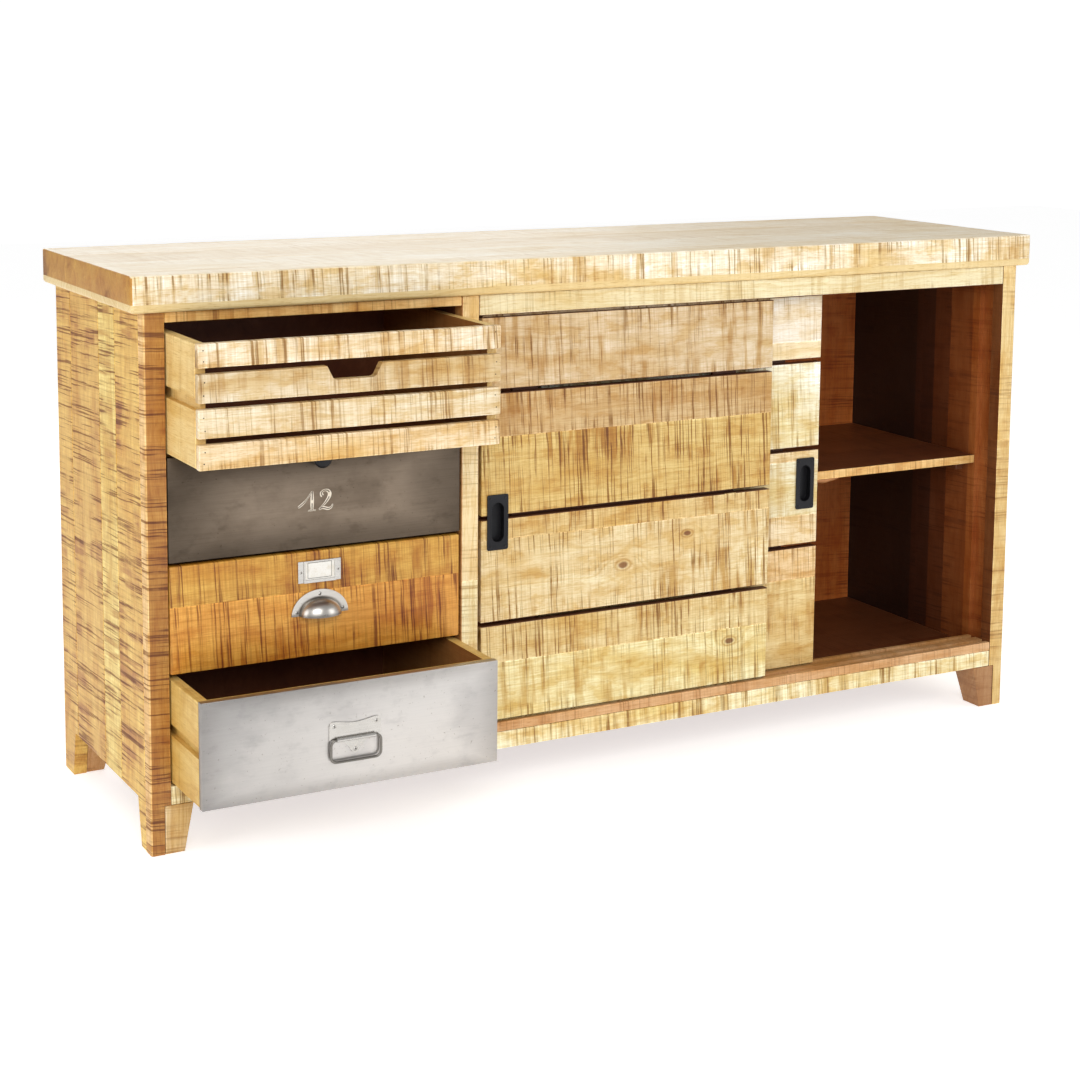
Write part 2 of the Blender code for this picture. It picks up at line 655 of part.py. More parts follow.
def make_cup_pull(parent, height):
    """Half-dome pull with a flat flange round it, open underneath for the fingers."""
    foot = height - LABEL_BELOW_TOP - LABEL_HEIGHT - CUP_BELOW_LABEL - CUP_HEIGHT
    place = (DRAWER_WIDTH / 2, -FIT, foot)
    outer = (CUP_WIDTH / 2, CUP_HEIGHT)
    across, up = outer[0] - CUP_FLANGE, outer[1] - CUP_FLANGE
    outline = arc((0, 0), outer, 0, 180, 22) + arc((0, 0), (across - CUP_WALL, up - CUP_WALL), 180, 0, 22)
    pull = extrude_outline("drawer_3_cup_pull", "nickel", parent, outline, -CUP_FLANGE_THICK, 0, place)
    dome = ellipsoid("cup_dome", parent, (across, CUP_OUT, up), place)
    hollow = ellipsoid("cup_hollow", parent, (across - CUP_WALL, CUP_OUT - CUP_WALL, up - CUP_WALL), place)
    beyond = CUP_WIDTH
    under = blocks("cup_trim_under", None, parent, [((-beyond, -beyond, -beyond), (beyond, beyond, 0.0))])
    behind = blocks("cup_trim_behind", None, parent, [((-beyond, 0.0, -beyond), (beyond, beyond, beyond))])
    under.location = behind.location = place
    cut(join(pull, dome), hollow, under, behind)
    shade_round(pull)


def bar(name, parent, radius, length, place):
    """A hidden round bar along X."""
    shape = bmesh.new()
    bmesh.ops.create_cone(shape, cap_ends=True, segments=20, radius1=radius, radius2=radius,
                          depth=length, matrix=Matrix.Rotation(math.pi / 2, 4, "Y"))
    return from_bmesh(name, shape, None, parent, place)


def handle_outline():
    """Plate outline about the hinge axis: round shoulders, a dip between them, a pointed tab below."""
    half, top, corner = PLATE_WIDTH / 2, PLATE_TALL, PLATE_CORNER
    points = arc((half - corner, top - corner), (corner, corner), 0, 75, 4)
    span = half - corner
    points += [(span * (1 - i / 6), top - PLATE_DIP * math.sin(math.pi * i / 12) ** 1.4) for i in range(1, 12)]
    points += arc((-half + corner, top - corner), (corner, corner), 105, 180, 4)
    points += [(-half, 0.0)]
    wide, radius = TAB_WIDTH / 2, TAB_RADIUS
    foot = TAB_DROP - radius
    side = [(wide + (radius * 0.8 - wide) * i / 5, -(foot + radius * 0.5) * (i / 5) ** 1.7) for i in range(6)]
    points += [(-x, z) for x, z in side]
    points += arc((0, -foot), (radius, radius), 205, 335, 6)
    points += list(reversed(side))
    return points + [(half, 0.0)]


def make_bail_handle(parent):
    """Chest handle: a plate with a barrel across it, and a wire bail that swings in the barrel."""
    middle = DRAWER_WIDTH / 2
    place = (middle, -FIT, HANDLE_AXIS)
    plate = extrude_outline("drawer_4_handle_plate", "nickel", parent, handle_outline(), -PLATE_THICK, 0, place)
    bore = BAIL_WIRE + BAIL_CLEAR
    length = BAIL_WIDTH - 2 * BAIL_WIRE - 2 * BAIL_CORNER
    axis = (middle, -FIT - BAIL_OUT, HANDLE_AXIS)
    tube = bar("handle_barrel", parent, bore + BARREL_WALL, length, axis)
    clearance = blocks("handle_clearance", None, parent,
                       [((x - side, -bore, -bore), (x + side, BAIL_OUT - PLATE_THICK, bore))
                        for side in (BAIL_CORNER + 2 * BAIL_WIRE,)
                        for x in (-length / 2 - side - BAIL_CLEAR, length / 2 + side + BAIL_CLEAR)])
    clearance.location = axis
    cut(join(plate, tube), bar("handle_bore", parent, bore, length + 0.01, axis), clearance)
    make_bail(new_empty("drawer_4_bail_axis", axis, parent))


def make_bail(hinge):
    """A ring of wire with round corners. Its two ends meet, nearly, inside the barrel."""
    across, drop, corner = BAIL_WIDTH / 2 - BAIL_WIRE, BAIL_DROP, BAIL_CORNER
    points = [(BAIL_SPLIT / 2, 0)]
    points += arc((across - corner, -corner), (corner, corner), 90, 0, 5)
    points += arc((across - corner, -drop + corner), (corner, corner), 0, -90, 5)
    points += arc((-across + corner, -drop + corner), (corner, corner), 270, 180, 5)
    points += arc((-across + corner, -corner), (corner, corner), 180, 90, 5)
    points += [(-BAIL_SPLIT / 2, 0)]
    wire = bpy.data.curves.new("drawer_4_bail", "CURVE")
    wire.dimensions = "3D"
    wire.bevel_depth = BAIL_WIRE
    wire.bevel_resolution = 2
    wire.use_fill_caps = True
    spline = wire.splines.new("POLY")
    spline.points.add(len(points) - 1)
    for point, (x, z) in zip(spline.points, points):
        point.co = (x, 0, z, 1)
    bail = bpy.data.objects.new("drawer_4_bail", wire)
    wire.materials.append(finishes["nickel"])
    bail.parent = hinge
    parts.objects.link(bail)


def make_runners(index, bottom, height):
    """Two hardwood strips for one drawer, on the side panel and on the partition."""
    middle = bottom + run_height(height)
    top = middle + RUN_GROOVE_HEIGHT / 2 - RUNNER_CLEAR_TOP
    low = middle - RUN_GROOVE_HEIGHT / 2 + RUNNER_CLEAR
    reach = DRAWER_GAP_SIDE + RUN_GROOVE_DEPTH - RUNNER_CLEAR
    start, end = POST_DEPTH + 2 * FIT, BACK_FACE - RUNNER_BACK
    for side, x in (("left", (SIDE_THICK + FIT, SIDE_THICK + reach)), ("right", (POST_X - reach, POST_X - FIT))):
        board(f"runner_{index}_{side}", "stained_wood", cabinet,
              (x[0], start, low), (x[1], end, top), 0.001)


def make_drawers():
    for index, ((bottom, height), opened) in enumerate(zip(drawer_spans(), DRAWER_OPEN), start=1):
        place = (SIDE_THICK + DRAWER_GAP_SIDE, DRAWER_FACE_BACK - opened, bottom)
        frame = new_empty(f"drawer_{index}", place, cabinet)
        box = f"drawer_{index}_box"
        if index == 1:
            make_box(box, frame, height, SLAT_THICK + FIT, None)
            make_slats(frame, height)
        elif index == 3:
            make_box(box, frame, height, FRONT_THICK + FIT, None)
            board("drawer_3_front", "golden_wood", frame, (0, 0, 0),
                  (DRAWER_WIDTH, FRONT_THICK, height), FRONT_ROUND, 2)
            make_label(frame, height)
            make_cup_pull(frame, height)
        else:
            finish = "gunmetal_sheet" if index == 2 else "steel_sheet"
            lined = (SHEET_THICK + FIT, SHEET_RETURN + FIT + 0.006)
            make_box(box, frame, height, SHEET_RETURN + FIT, lined)
            make_sheet(f"drawer_{index}_sheet", finish, frame, height)
            if index == 2:
                make_knob(frame, height)
            else:
                make_bail_handle(frame)
        make_runners(index, bottom, height)


# --- Sliding doors -------------------------------------------------------------------------------


def make_flush_pull(name, parent, x, z):
    """A plate with a long sunk cup. Returns the plate and the cutter for its pocket."""
    place = (x, -FIT, z)
    plate = extrude_outline(name, "black_iron", parent, round_box(FLUSH_WIDTH, FLUSH_HEIGHT, FLUSH_ROUND),
                            -FLUSH_PLATE, 0, place)
    cup_round = FLUSH_CUP_WIDTH / 2
    wall = FLUSH_WALL
    body = extrude_outline(name + "_cup", None, parent,
                           round_box(FLUSH_CUP_WIDTH + 2 * wall, FLUSH_CUP_HEIGHT + 2 * wall,
                                     cup_round + wall, 5),
                           -FLUSH_PLATE / 2, FLUSH_CUP_DEPTH + wall, place)
    hollow = extrude_outline(name + "_hollow", None, parent,
                             round_box(FLUSH_CUP_WIDTH, FLUSH_CUP_HEIGHT, cup_round, 5),
                             -0.01, FLUSH_CUP_DEPTH, place)
    cut(join(plate, body), hollow)
    ease(plate, 0.0002)
    clear = wall + 2 * FIT
    return extrude_outline(name + "_pocket", None, parent,
                           round_box(FLUSH_CUP_WIDTH + 2 * clear, FLUSH_CUP_HEIGHT + 2 * clear,
                                     cup_round + clear, 5),
                           -0.01, FLUSH_CUP_DEPTH + clear, place)


def make_door(name, left, index, shares, pull_x):
    """A sliding door of four wide boards with gaps, held by battens behind. Its top and bottom
    boards have tongues for the tracks."""
    frame = new_empty(name, (left, DOOR_FACE + index * DOOR_PITCH, DOOR_LOW), cabinet)
    height = DOOR_HIGH - DOOR_LOW
    stock = height - DOOR_BOARD_GAP * (len(shares) - 1)
    pocket = make_flush_pull(name + "_pull", frame, pull_x, FLUSH_CENTRE - DOOR_LOW)
    top = height
    for number, share in enumerate(shares, start=1):
        tall = stock * share / sum(shares)
        low = top - tall
        plank = board(f"{name}_board_{number}", "pale_wood", frame, (0, 0, low),
                      (DOOR_WIDTH, DOOR_BOARD, top), 0.0012)
        tongue = (TONGUE_SETBACK, min(TONGUE_SETBACK + TONGUE_THICK, DOOR_BOARD))
        ends = {1: (top - 0.002, top + DOOR_GAP_TOP + TRACK_GROOVE_DEPTH - TONGUE_CLEAR),
                len(shares): (low - DOOR_GAP_LOW - TRACK_GROOVE_DEPTH + TONGUE_CLEAR, low + 0.002)}
        if number in ends:
            join(plank, blocks(f"{name}_tongue_{number}", None, frame,
                               [((0.004, tongue[0], ends[number][0]),
                                 (DOOR_WIDTH - 0.004, tongue[1], ends[number][1]))]))
        if low < FLUSH_CENTRE - DOOR_LOW + FLUSH_HEIGHT / 2 and top > FLUSH_CENTRE - DOOR_LOW - FLUSH_HEIGHT / 2:
            cut(plank, pocket)
        top = low - DOOR_BOARD_GAP
    near, far = DOOR_BOARD + FIT, DOOR_BOARD + FIT + BATTEN_THICK
    low, high = BATTEN_SHORT, height - BATTEN_SHORT
    right = DOOR_WIDTH - BATTEN_INSET
    battens = board(f"{name}_battens", "stained_wood", frame, (BATTEN_INSET, near, low),
                    (right, far, high), 0.0008)
    rail = (height - BATTEN_WIDTH) / 2
    inner = (BATTEN_INSET + BATTEN_WIDTH, right - BATTEN_WIDTH)
    cut(battens, blocks(f"{name}_batten_room", None, frame,
                        [((inner[0], near - 0.01, low - 0.01), (inner[1], far + 0.01, rail)),
                         ((inner[0], near - 0.01, rail + BATTEN_WIDTH), (inner[1], far + 0.01, high + 0.01))]))


def make_doors():
    left = BAY_LEFT + DOOR_AT_POST
    rear_left = left + REAR_DOOR_SHOWS
    make_door("door_front", left, 0, FRONT_DOOR_BOARDS, FLUSH_EDGE)
    make_door("door_rear", rear_left, 1, REAR_DOOR_BOARDS, DOOR_WIDTH - FLUSH_EDGE)


make_slab()
make_posts()
make_sides()
make_feet()
make_frame()
make_back()
make_shelf()
make_drawers()
make_doors()
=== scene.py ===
import json
import math

import bmesh
import bpy
from mathutils import Matrix, Vector, noise


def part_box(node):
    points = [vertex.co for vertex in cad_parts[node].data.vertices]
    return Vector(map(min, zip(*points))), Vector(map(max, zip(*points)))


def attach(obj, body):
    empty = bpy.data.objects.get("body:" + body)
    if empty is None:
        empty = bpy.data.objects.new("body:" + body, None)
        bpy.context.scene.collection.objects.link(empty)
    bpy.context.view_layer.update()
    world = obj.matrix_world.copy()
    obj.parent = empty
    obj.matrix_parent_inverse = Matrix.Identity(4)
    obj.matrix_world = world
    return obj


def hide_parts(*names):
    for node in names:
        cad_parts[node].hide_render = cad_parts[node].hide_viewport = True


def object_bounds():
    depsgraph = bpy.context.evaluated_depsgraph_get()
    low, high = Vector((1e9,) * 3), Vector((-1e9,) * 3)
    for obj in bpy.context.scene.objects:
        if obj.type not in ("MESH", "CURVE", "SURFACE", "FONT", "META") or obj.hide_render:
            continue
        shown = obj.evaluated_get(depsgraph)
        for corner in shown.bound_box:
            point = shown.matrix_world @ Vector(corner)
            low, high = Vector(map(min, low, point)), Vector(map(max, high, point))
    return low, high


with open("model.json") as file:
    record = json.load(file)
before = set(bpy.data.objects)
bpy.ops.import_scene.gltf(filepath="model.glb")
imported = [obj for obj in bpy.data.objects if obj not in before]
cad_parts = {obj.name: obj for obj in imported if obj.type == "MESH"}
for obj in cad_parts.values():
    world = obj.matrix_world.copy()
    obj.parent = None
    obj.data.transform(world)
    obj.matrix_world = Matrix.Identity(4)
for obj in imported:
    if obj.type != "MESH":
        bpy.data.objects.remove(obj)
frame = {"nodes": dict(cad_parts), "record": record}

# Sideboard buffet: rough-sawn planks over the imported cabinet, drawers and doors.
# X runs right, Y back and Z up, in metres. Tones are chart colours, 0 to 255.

bpy.context.view_layer.update()
cadBox = [list(corner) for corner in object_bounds()]
corner = Vector((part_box("post_front_left")[0].x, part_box("post_front_left")[0].y, 0.0))
bodyOf = {node: body for body, nodes in frame["record"]["behaviour"]["bodies"].items() for node in nodes}


def paint(red, green, blue):
    # a linear colour from the 0 to 255 numbers of a paint chart
    chart = [value / 255 for value in (red, green, blue)]
    return tuple(v / 12.92 if v <= 0.04045 else ((v + 0.055) / 1.055) ** 2.4 for v in chart)


# short names for wiring up a finish
class Wiring:
    def __init__(self, name):
        self.material = bpy.data.materials.new(name)
        self.material.use_nodes = True
        self.tree = self.material.node_tree
        self.shader = self.tree.nodes["Principled BSDF"]

    def node(self, kind, **settings):
        made = self.tree.nodes.new("ShaderNode" + kind)
        for key, value in settings.items():
            setattr(made, key, value)
        return made

    def feed(self, socket, value):
        if isinstance(value, bpy.types.NodeSocket):
            self.tree.links.new(value, socket)
        else:
            socket.default_value = value

    def maths(self, operation, *values):
        made = self.node("Math", operation=operation)
        for socket, value in zip(made.inputs, values):
            self.feed(socket, value)
        return made.outputs[0]

    def ease(self, value, start, end, low=0.0, high=1.0):
        made = self.node("MapRange", interpolation_type="SMOOTHSTEP")
        for socket, item in zip(made.inputs, (value, start, end, low, high)):
            self.feed(socket, item)
        return made.outputs[0]

    def split(self, vector):
        made = self.node("SeparateXYZ")
        self.feed(made.inputs[0], vector)
        return list(made.outputs)

    def join(self, *values):
        made = self.node("CombineXYZ")
        for socket, value in zip(made.inputs, values):
            self.feed(socket, value)
        return made.outputs[0]

    def attribute(self, name, output="Fac"):
        return self.node("Attribute", attribute_name=name).outputs[output]

    def grainNoise(self, sockets, sizes, detail=2.0, roughness=0.5):
        # noise whose features measure sizes, in metres, along the three given sockets
        scaled = [self.maths("DIVIDE", socket, size) for socket, size in zip(sockets, sizes)]
        made = self.node("TexNoise")
        self.feed(made.inputs["Vector"], self.join(*scaled))
        made.inputs["Scale"].default_value = 1.0
        made.inputs["Detail"].default_value = detail
        made.inputs["Roughness"].default_value = roughness
        return made.outputs[0]

    def lineNoise(self, value, size, detail=2.0, roughness=0.5):
        made = self.node("TexNoise", noise_dimensions="1D")
        self.feed(made.inputs["W"], self.maths("DIVIDE", value, size))
        made.inputs["Scale"].default_value = 1.0
        made.inputs["Detail"].default_value = detail
        made.inputs["Roughness"].default_value = roughness
        return made.outputs[0]

    def tint(self, colour, share, other, how="MULTIPLY"):
        made = self.node("Mix", data_type="RGBA", blend_type=how)
        self.feed(made.inputs[0], share)
        for socket, value in ((made.inputs[6], colour), (made.inputs[7], other)):
            self.feed(socket, value if isinstance(value, bpy.types.NodeSocket) else (*value, 1.0))
        return made.outputs[2]

    def bump(self, height, distance, strength=1.0):
        made = self.node("Bump")
        self.feed(made.inputs["Height"], height)
        made.inputs["Distance"].default_value = distance
        made.inputs["Strength"].default_value = strength
        self.feed(self.shader.inputs["Normal"], made.outputs[0])


# The tints multiply a board's own tone. The triples from drift to grime are the sizes of a mark's
# features along, across and through the grain.
woodLook = {
    "ringTint": (0.84, 0.72, 0.46), "fibreTint": (0.84, 0.75, 0.56), "blotchDark": (0.86, 0.72, 0.42),
    "smearTint": (0.68, 0.50, 0.21), "sawTint": (0.42, 0.29, 0.11), "knotTint": (0.34, 0.19, 0.09),
    "paler": (1.08, 1.15, 1.28), "ridgeHighlightTint": (1.12, 1.18, 1.34), "rubbedTint": (1.28, 1.34, 1.50),
    "drift": (0.55, 0.13, 0.13), "ripple": (0.06, 0.012, 0.012), "knotRipple": (0.02, 0.012, 0.012),
    "fibre": (0.060, 0.0017, 0.0017), "pores": (0.012, 0.0008, 0.0008), "blotch": (0.22, 0.07, 0.07),
    "mottle": (0.055, 0.024, 0.024), "wander": (0.05, 0.03, 0.03), "teeth": (0.0030, 0.15, 0.15),
    "band": (0.014, 0.17, 0.17), "patch": (0.15, 0.07, 0.07), "smear": (0.2, 0.08, 0.08),
    "rubbed": (0.018, 0.006, 0.006), "grime": (0.03, 0.01, 0.01),
    # how a board's seed moves its pattern and its rings' heart, how the rings bend, how saw marks slant
    "boardShift": (3.17, 1.37, 0.71), "heartReach": ((17.0, 0.09), (29.0, 0.05)), "ringPitch": 0.0062,
    "driftReach": 0.075, "rippleReach": 0.006, "taper": 0.016, "slant": 0.05,
    "roughness": 0.50, "coat": 0.10, "coatRoughness": 0.35, "reliefDepth": 0.0006,
}
grainOrder = {"x": (0, 1, 2), "y": (1, 2, 0), "z": (2, 0, 1)}


def woodFinish(name, grain, look=woodLook):
    w = Wiring(name)
    order = grainOrder[grain]
    place = w.split(w.node("TexCoord").outputs["Object"])
    low = w.split(w.attribute("lowCorner", "Vector"))
    high = w.split(w.attribute("highCorner", "Vector"))
    seed, sawn = w.attribute("board"), w.attribute("sawn")
    place, low, high = ([values[i] for i in order] for values in (place, low, high))
    inset = [w.maths("MINIMUM", w.maths("SUBTRACT", p, a), w.maths("SUBTRACT", b, p))
             for p, a, b in zip(place, low, high)]
    nearer = w.maths("MINIMUM", inset[0], inset[1])
    farther = w.maths("MAXIMUM", inset[0], inset[1])
    edge = w.maths("MAXIMUM", nearer, w.maths("MINIMUM", farther, inset[2]))  # to the board's nearest edge
    sideEdge = w.maths("MAXIMUM", inset[1], inset[2])                          # to an edge along the grain
    moved = [w.maths("MULTIPLY_ADD", seed, step, p) for step, p in zip(look["boardShift"], place)]
    along, across, through = moved

    # growth rings about a heart that the board's seed places, and that wanders along the board
    drift = w.grainNoise(moved, look["drift"], 3.0)
    heart = [w.maths("MULTIPLY", w.maths("SINE", w.maths("MULTIPLY", seed, step)), reach)
             for step, reach in look["heartReach"]]
    middle = [w.maths("MULTIPLY", w.maths("ADD", a, b), 0.5) for a, b in zip(low, high)]
    fromHeart = [w.maths("SUBTRACT", w.maths("SUBTRACT", place[i], middle[i]), heart[i - 1]) for i in (1, 2)]
    squares = [w.maths("MULTIPLY", value, value) for value in fromHeart]
    radius = w.maths("SQRT", w.maths("ADD", squares[0], squares[1]))
    radius = w.maths("MULTIPLY_ADD", drift, look["driftReach"], radius)
    ripple = w.grainNoise(moved, look["ripple"], 2.0)
    radius = w.maths("MULTIPLY_ADD", ripple, look["rippleReach"], radius)
    radius = w.maths("MULTIPLY_ADD", along, look["taper"], radius)

    # one knot a board, where the board has one; spans are measured in knot radii
    knotPlace = w.split(w.attribute("knot", "Vector"))
    knotSize = w.maths("MAXIMUM", w.attribute("knotSize"), 0.0005)
    offKnot = [w.maths("SUBTRACT", place[i], knotPlace[order[i]]) for i in range(3)]
    offKnot[0] = w.maths("MULTIPLY", offKnot[0], 0.6)      # longer along the grain
    spans = [w.maths("MULTIPLY", value, value) for value in offKnot]
    knotSpan = w.maths("SQRT", w.maths("ADD", spans[0], w.maths("ADD", spans[1], spans[2])))
    knotSpan = w.maths("DIVIDE", knotSpan, knotSize)
    knotRipple = w.maths("MULTIPLY", w.grainNoise(moved, look["knotRipple"]), 0.5)
    knotSpan = w.maths("ADD", knotSpan, knotRipple)
    eddy = w.ease(knotSpan, 5.0, 0.4)
    knotHeart = w.ease(knotSpan, 1.15, 0.7)
    knotRing = w.ease(w.maths("ABSOLUTE", w.maths("SUBTRACT", knotSpan, 1.35)), 0.35, 0.0)
    radius = w.maths("MULTIPLY_ADD", eddy, w.maths("MULTIPLY", knotSize, 3.2), radius)

    ring = w.lineNoise(radius, look["ringPitch"], 3.0, 0.62)
    fibre = w.grainNoise(moved, look["fibre"], 2.0, 0.6)
    pores = w.ease(w.grainNoise(moved, look["pores"], 1.0), 0.60, 0.72)
    blotch = w.grainNoise(moved, look["blotch"], 4.0, 0.6)
    mottle = w.grainNoise(moved, look["mottle"], 4.0, 0.62)

    # saw marks run across the board at a slight slant, in bands and patches
    slant = w.maths("MULTIPLY_ADD", w.maths("SUBTRACT", place[1], middle[1]), look["slant"], along)
    slant = w.maths("MULTIPLY_ADD", w.maths("SUBTRACT", place[2], middle[2]), look["slant"], slant)
    slant = w.maths("MULTIPLY_ADD", w.grainNoise(moved, look["wander"]), 0.002, slant)
    slanted = (slant, across, through)
    teeth = w.grainNoise(slanted, look["teeth"], 2.5, 0.5)
    band = w.grainNoise(slanted, look["band"], 3.0, 0.62)
    patch = w.grainNoise(moved, look["patch"], 4.0, 0.6)
    patch = w.maths("ADD", patch, w.ease(sideEdge, 0.034, 0.0, 0.0, 0.12))
    patch = w.maths("MULTIPLY_ADD", w.maths("SUBTRACT", sawn, 1.0), 0.16, patch)
    patch = w.ease(patch, 0.40, 0.60, 0.16, 1.0)
    teethMark = w.maths("MULTIPLY", w.ease(teeth, 0.54, 0.61), w.ease(band, 0.38, 0.58, 0.2, 1.0))
    sawMark = w.maths("MULTIPLY", w.maths("MULTIPLY", teethMark, patch), sawn)
    # a painted highlight: a lighter tint on the ridges between the saw marks
    ridgeHighlight = w.maths("MULTIPLY", w.ease(teeth, 0.46, 0.38), patch)
    ridgeHighlight = w.maths("MULTIPLY", ridgeHighlight, w.maths("MINIMUM", sawn, 1.0))
    smearPatch = w.ease(w.grainNoise(moved, look["smear"], 3.0), 0.42, 0.56)
    smear = w.maths("MULTIPLY", w.ease(band, 0.46, 0.64), smearPatch)
    smear = w.maths("MULTIPLY", smear, sawn)

    # marks on the tone, each with how strongly it shows; smoother boards have calmer ones
    calm = w.ease(sawn, 0.1, 0.6, 0.4, 1.0)
    lively = w.ease(sawn, 0.1, 0.9, 0.15, 1.0)
    knotShown = w.ease(w.attribute("knotSize"), 0.0008, 0.002)
    rubbed = w.ease(w.grainNoise(moved, look["rubbed"]), 0.36, 0.60)
    grime = w.ease(w.grainNoise(moved, look["grime"]), 0.40, 0.66)
    grime = w.maths("MULTIPLY", w.ease(edge, 0.0010, 0.0001), grime)
    marks = [
        (w.ease(ring, 0.42, 0.72, 0.0, 0.6), "ringTint"),
        (w.maths("MULTIPLY", w.ease(blotch, 0.46, 0.70), calm), "blotchDark"),
        (w.maths("MULTIPLY", w.ease(blotch, 0.46, 0.30), calm), "paler"),
        (w.maths("MULTIPLY", w.ease(mottle, 0.50, 0.62, 0.0, 0.7), lively), "blotchDark"),
        (w.maths("MULTIPLY", w.ease(mottle, 0.48, 0.38, 0.0, 0.75), lively), "paler"),
        (w.maths("MULTIPLY", w.ease(fibre, 0.46, 0.64, 0.0, 0.6), calm), "fibreTint"),
        (w.maths("MULTIPLY", pores, 0.55), "smearTint"),
        (w.maths("MULTIPLY", smear, 0.85), "smearTint"),
        (w.maths("MULTIPLY", sawMark, 0.95), "sawTint"),
        (w.maths("MULTIPLY", ridgeHighlight, 0.8), "ridgeHighlightTint"),
        (w.maths("MULTIPLY", knotRing, w.maths("MULTIPLY", knotShown, 0.75)), "smearTint"),
        (w.maths("MULTIPLY", knotHeart, knotShown), "knotTint"),
        (w.maths("MULTIPLY", w.ease(edge, 0.0026, 0.0006), rubbed), "rubbedTint"),
        (w.maths("MULTIPLY", grime, 0.7), "smearTint"),
    ]
    colour = w.attribute("tone", "Color")
    for share, mark in marks:
        colour = w.tint(colour, share, look[mark])
    w.feed(w.shader.inputs["Base Color"], colour)

    gloss = w.maths("MULTIPLY_ADD", sawMark, 0.16, look["roughness"] - 0.06)
    gloss = w.maths("MULTIPLY_ADD", blotch, 0.12, gloss)
    w.feed(w.shader.inputs["Roughness"], gloss)
    w.shader.inputs["Coat Weight"].default_value = look["coat"]
    w.shader.inputs["Coat Roughness"].default_value = look["coatRoughness"]
    height = w.maths("MULTIPLY", fibre, -0.18)
    height = w.maths("MULTIPLY_ADD", teeth, w.maths("MULTIPLY", sawn, -0.9), height)
    height = w.maths("MULTIPLY_ADD", ring, -0.22, height)
    height = w.maths("MULTIPLY_ADD", pores, -0.2, height)
    w.bump(height, look["reliefDepth"], 0.8)
    return w.material


woods = {grain: woodFinish("wood_along_" + grain, grain) for grain in "xyz"}


def openNode(node):
    # a merged copy of a CAD piece, with its flat faces whole again
    shape = bmesh.new()
    shape.from_mesh(frame["nodes"][node].data)
    bmesh.ops.remove_doubles(shape, verts=shape.verts, dist=0.00001)
    bmesh.ops.dissolve_limit(shape, angle_limit=0.008, verts=shape.verts, edges=shape.edges)
    return shape


def cutAcross(shape, axis, place):
    point, normal = Vector(), Vector()
    point[axis], normal[axis] = place, 1.0
    bmesh.ops.bisect_plane(shape, geom=shape.verts[:] + shape.edges[:] + shape.faces[:], dist=0.00002,
                           plane_co=point, plane_no=normal)


def wearDown(shape, depth, size, seed):
    # sinks the surface unevenly, never outwards, so that pieces keep their gaps
    shape.normal_update()
    away = Vector((seed * 5.3, seed * 2.9, seed * 7.1))
    for vert in shape.verts:
        level = noise.noise(vert.co / size + away) * 0.5 + noise.noise(vert.co / (size * 0.3) + away) * 0.3
        vert.co -= vert.normal * depth * min(max(0.5 + level, 0.0), 1.0)


def toMesh(shape, name, materials, node, sharp=38):
    # the finished piece: on its CAD piece's body, in that piece's place
    data = bpy.data.meshes.new(name)
    shape.to_mesh(data)
    shape.free()
    for layer in ("custom_normal", "sharp_face", "sharp_edge"):
        if layer in data.attributes:
            data.attributes.remove(data.attributes[layer])
    for material in materials:
        data.materials.append(material)
    data.shade_smooth()
    data.set_sharp_from_angle(angle=math.radians(sharp))
    made = bpy.data.objects.new(name, data)
    bpy.context.scene.collection.objects.link(made)
    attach(made, bodyOf.get(node, node))
    return made


def markBoards(shape, low, high, axis, joints, boards, rules):
    # every face learns which board it is on: its tone, seed, saw marks, corners and knot
    # a rule changes those of the faces it picks, and later rules go over earlier ones
    layers = shape.faces.layers
    tone = layers.float_color.new("tone")
    numbers = {name: layers.float.new(name) for name in ("board", "sawn", "knotSize")}
    places = {name: layers.float_vector.new(name) for name in ("lowCorner", "highCorner", "knot")}
    size = high - low
    slack = 0.0001
    stops = [0.0, *joints, 1.0]
    for face in shape.faces:
        middle = face.calc_center_median()
        share = (middle[axis] - low[axis]) / size[axis]
        index = max(i for i in range(len(boards)) if share >= stops[i] - slack or i == 0)
        wood = dict(boards[index])
        for test, change in rules:
            if test(face.normal, middle):
                wood.update(change)
        a, b = low.copy(), high.copy()
        a[axis], b[axis] = low[axis] + size[axis] * stops[index], low[axis] + size[axis] * stops[index + 1]
        face[tone] = (*paint(*wood["tone"]), 1.0)
        face[numbers["board"]] = wood["seed"]
        face[numbers["sawn"]] = wood.get("sawn", 1.0)
        face[places["lowCorner"]], face[places["highCorner"]] = a, b
        within = wood.get("knot", (0.5, 0.5, 0.5))
        face[places["knot"]] = Vector([low[i] + size[i] * within[i] for i in range(3)])
        face[numbers["knotSize"]] = wood.get("knotSize", 0.0)


timberLook = {"wearSize": 0.09, "coarser": 1.6, "squareOn": 0.7}


def timber(node, grain, boards, axis="y", joints=(), rules=(), wear=0.0005, pitch=0.03,
           level=None):
    # a wooden piece with the CAD piece's shape, of boards that meet at joints, shares of its size
    # along axis; level adds a cut at one height, and pitch is how finely the wear can bend it
    low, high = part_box(node)
    shape = openNode(node)
    number = "xyz".index(axis)
    for share in joints:
        cutAcross(shape, number, low[number] + (high[number] - low[number]) * share)
    if level:
        cutAcross(shape, 2, level)
    for side in range(3):
        step = pitch if side == "xyz".index(grain) else pitch * timberLook["coarser"]
        count = int((high[side] - low[side]) / step)
        for i in range(1, count):
            cutAcross(shape, side, low[side] + (high[side] - low[side]) * i / count)
    wearDown(shape, wear, timberLook["wearSize"], boards[0]["seed"])
    shape.normal_update()
    markBoards(shape, low, high, number, joints, boards, rules)
    made = toMesh(shape, node + "_wood", [woods[grain]], node)
    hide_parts(node)


def facing(x=0, y=0, z=0):
    # picks the faces that look more or less that way
    way = Vector((x, y, z))
    return lambda normal, middle: normal.dot(way) > timberLook["squareOn"]


def plank(tone, seed, sawn):
    # sawn is how strongly the saw's marks show
    return {"tone": tone, "seed": seed, "sawn": sawn}


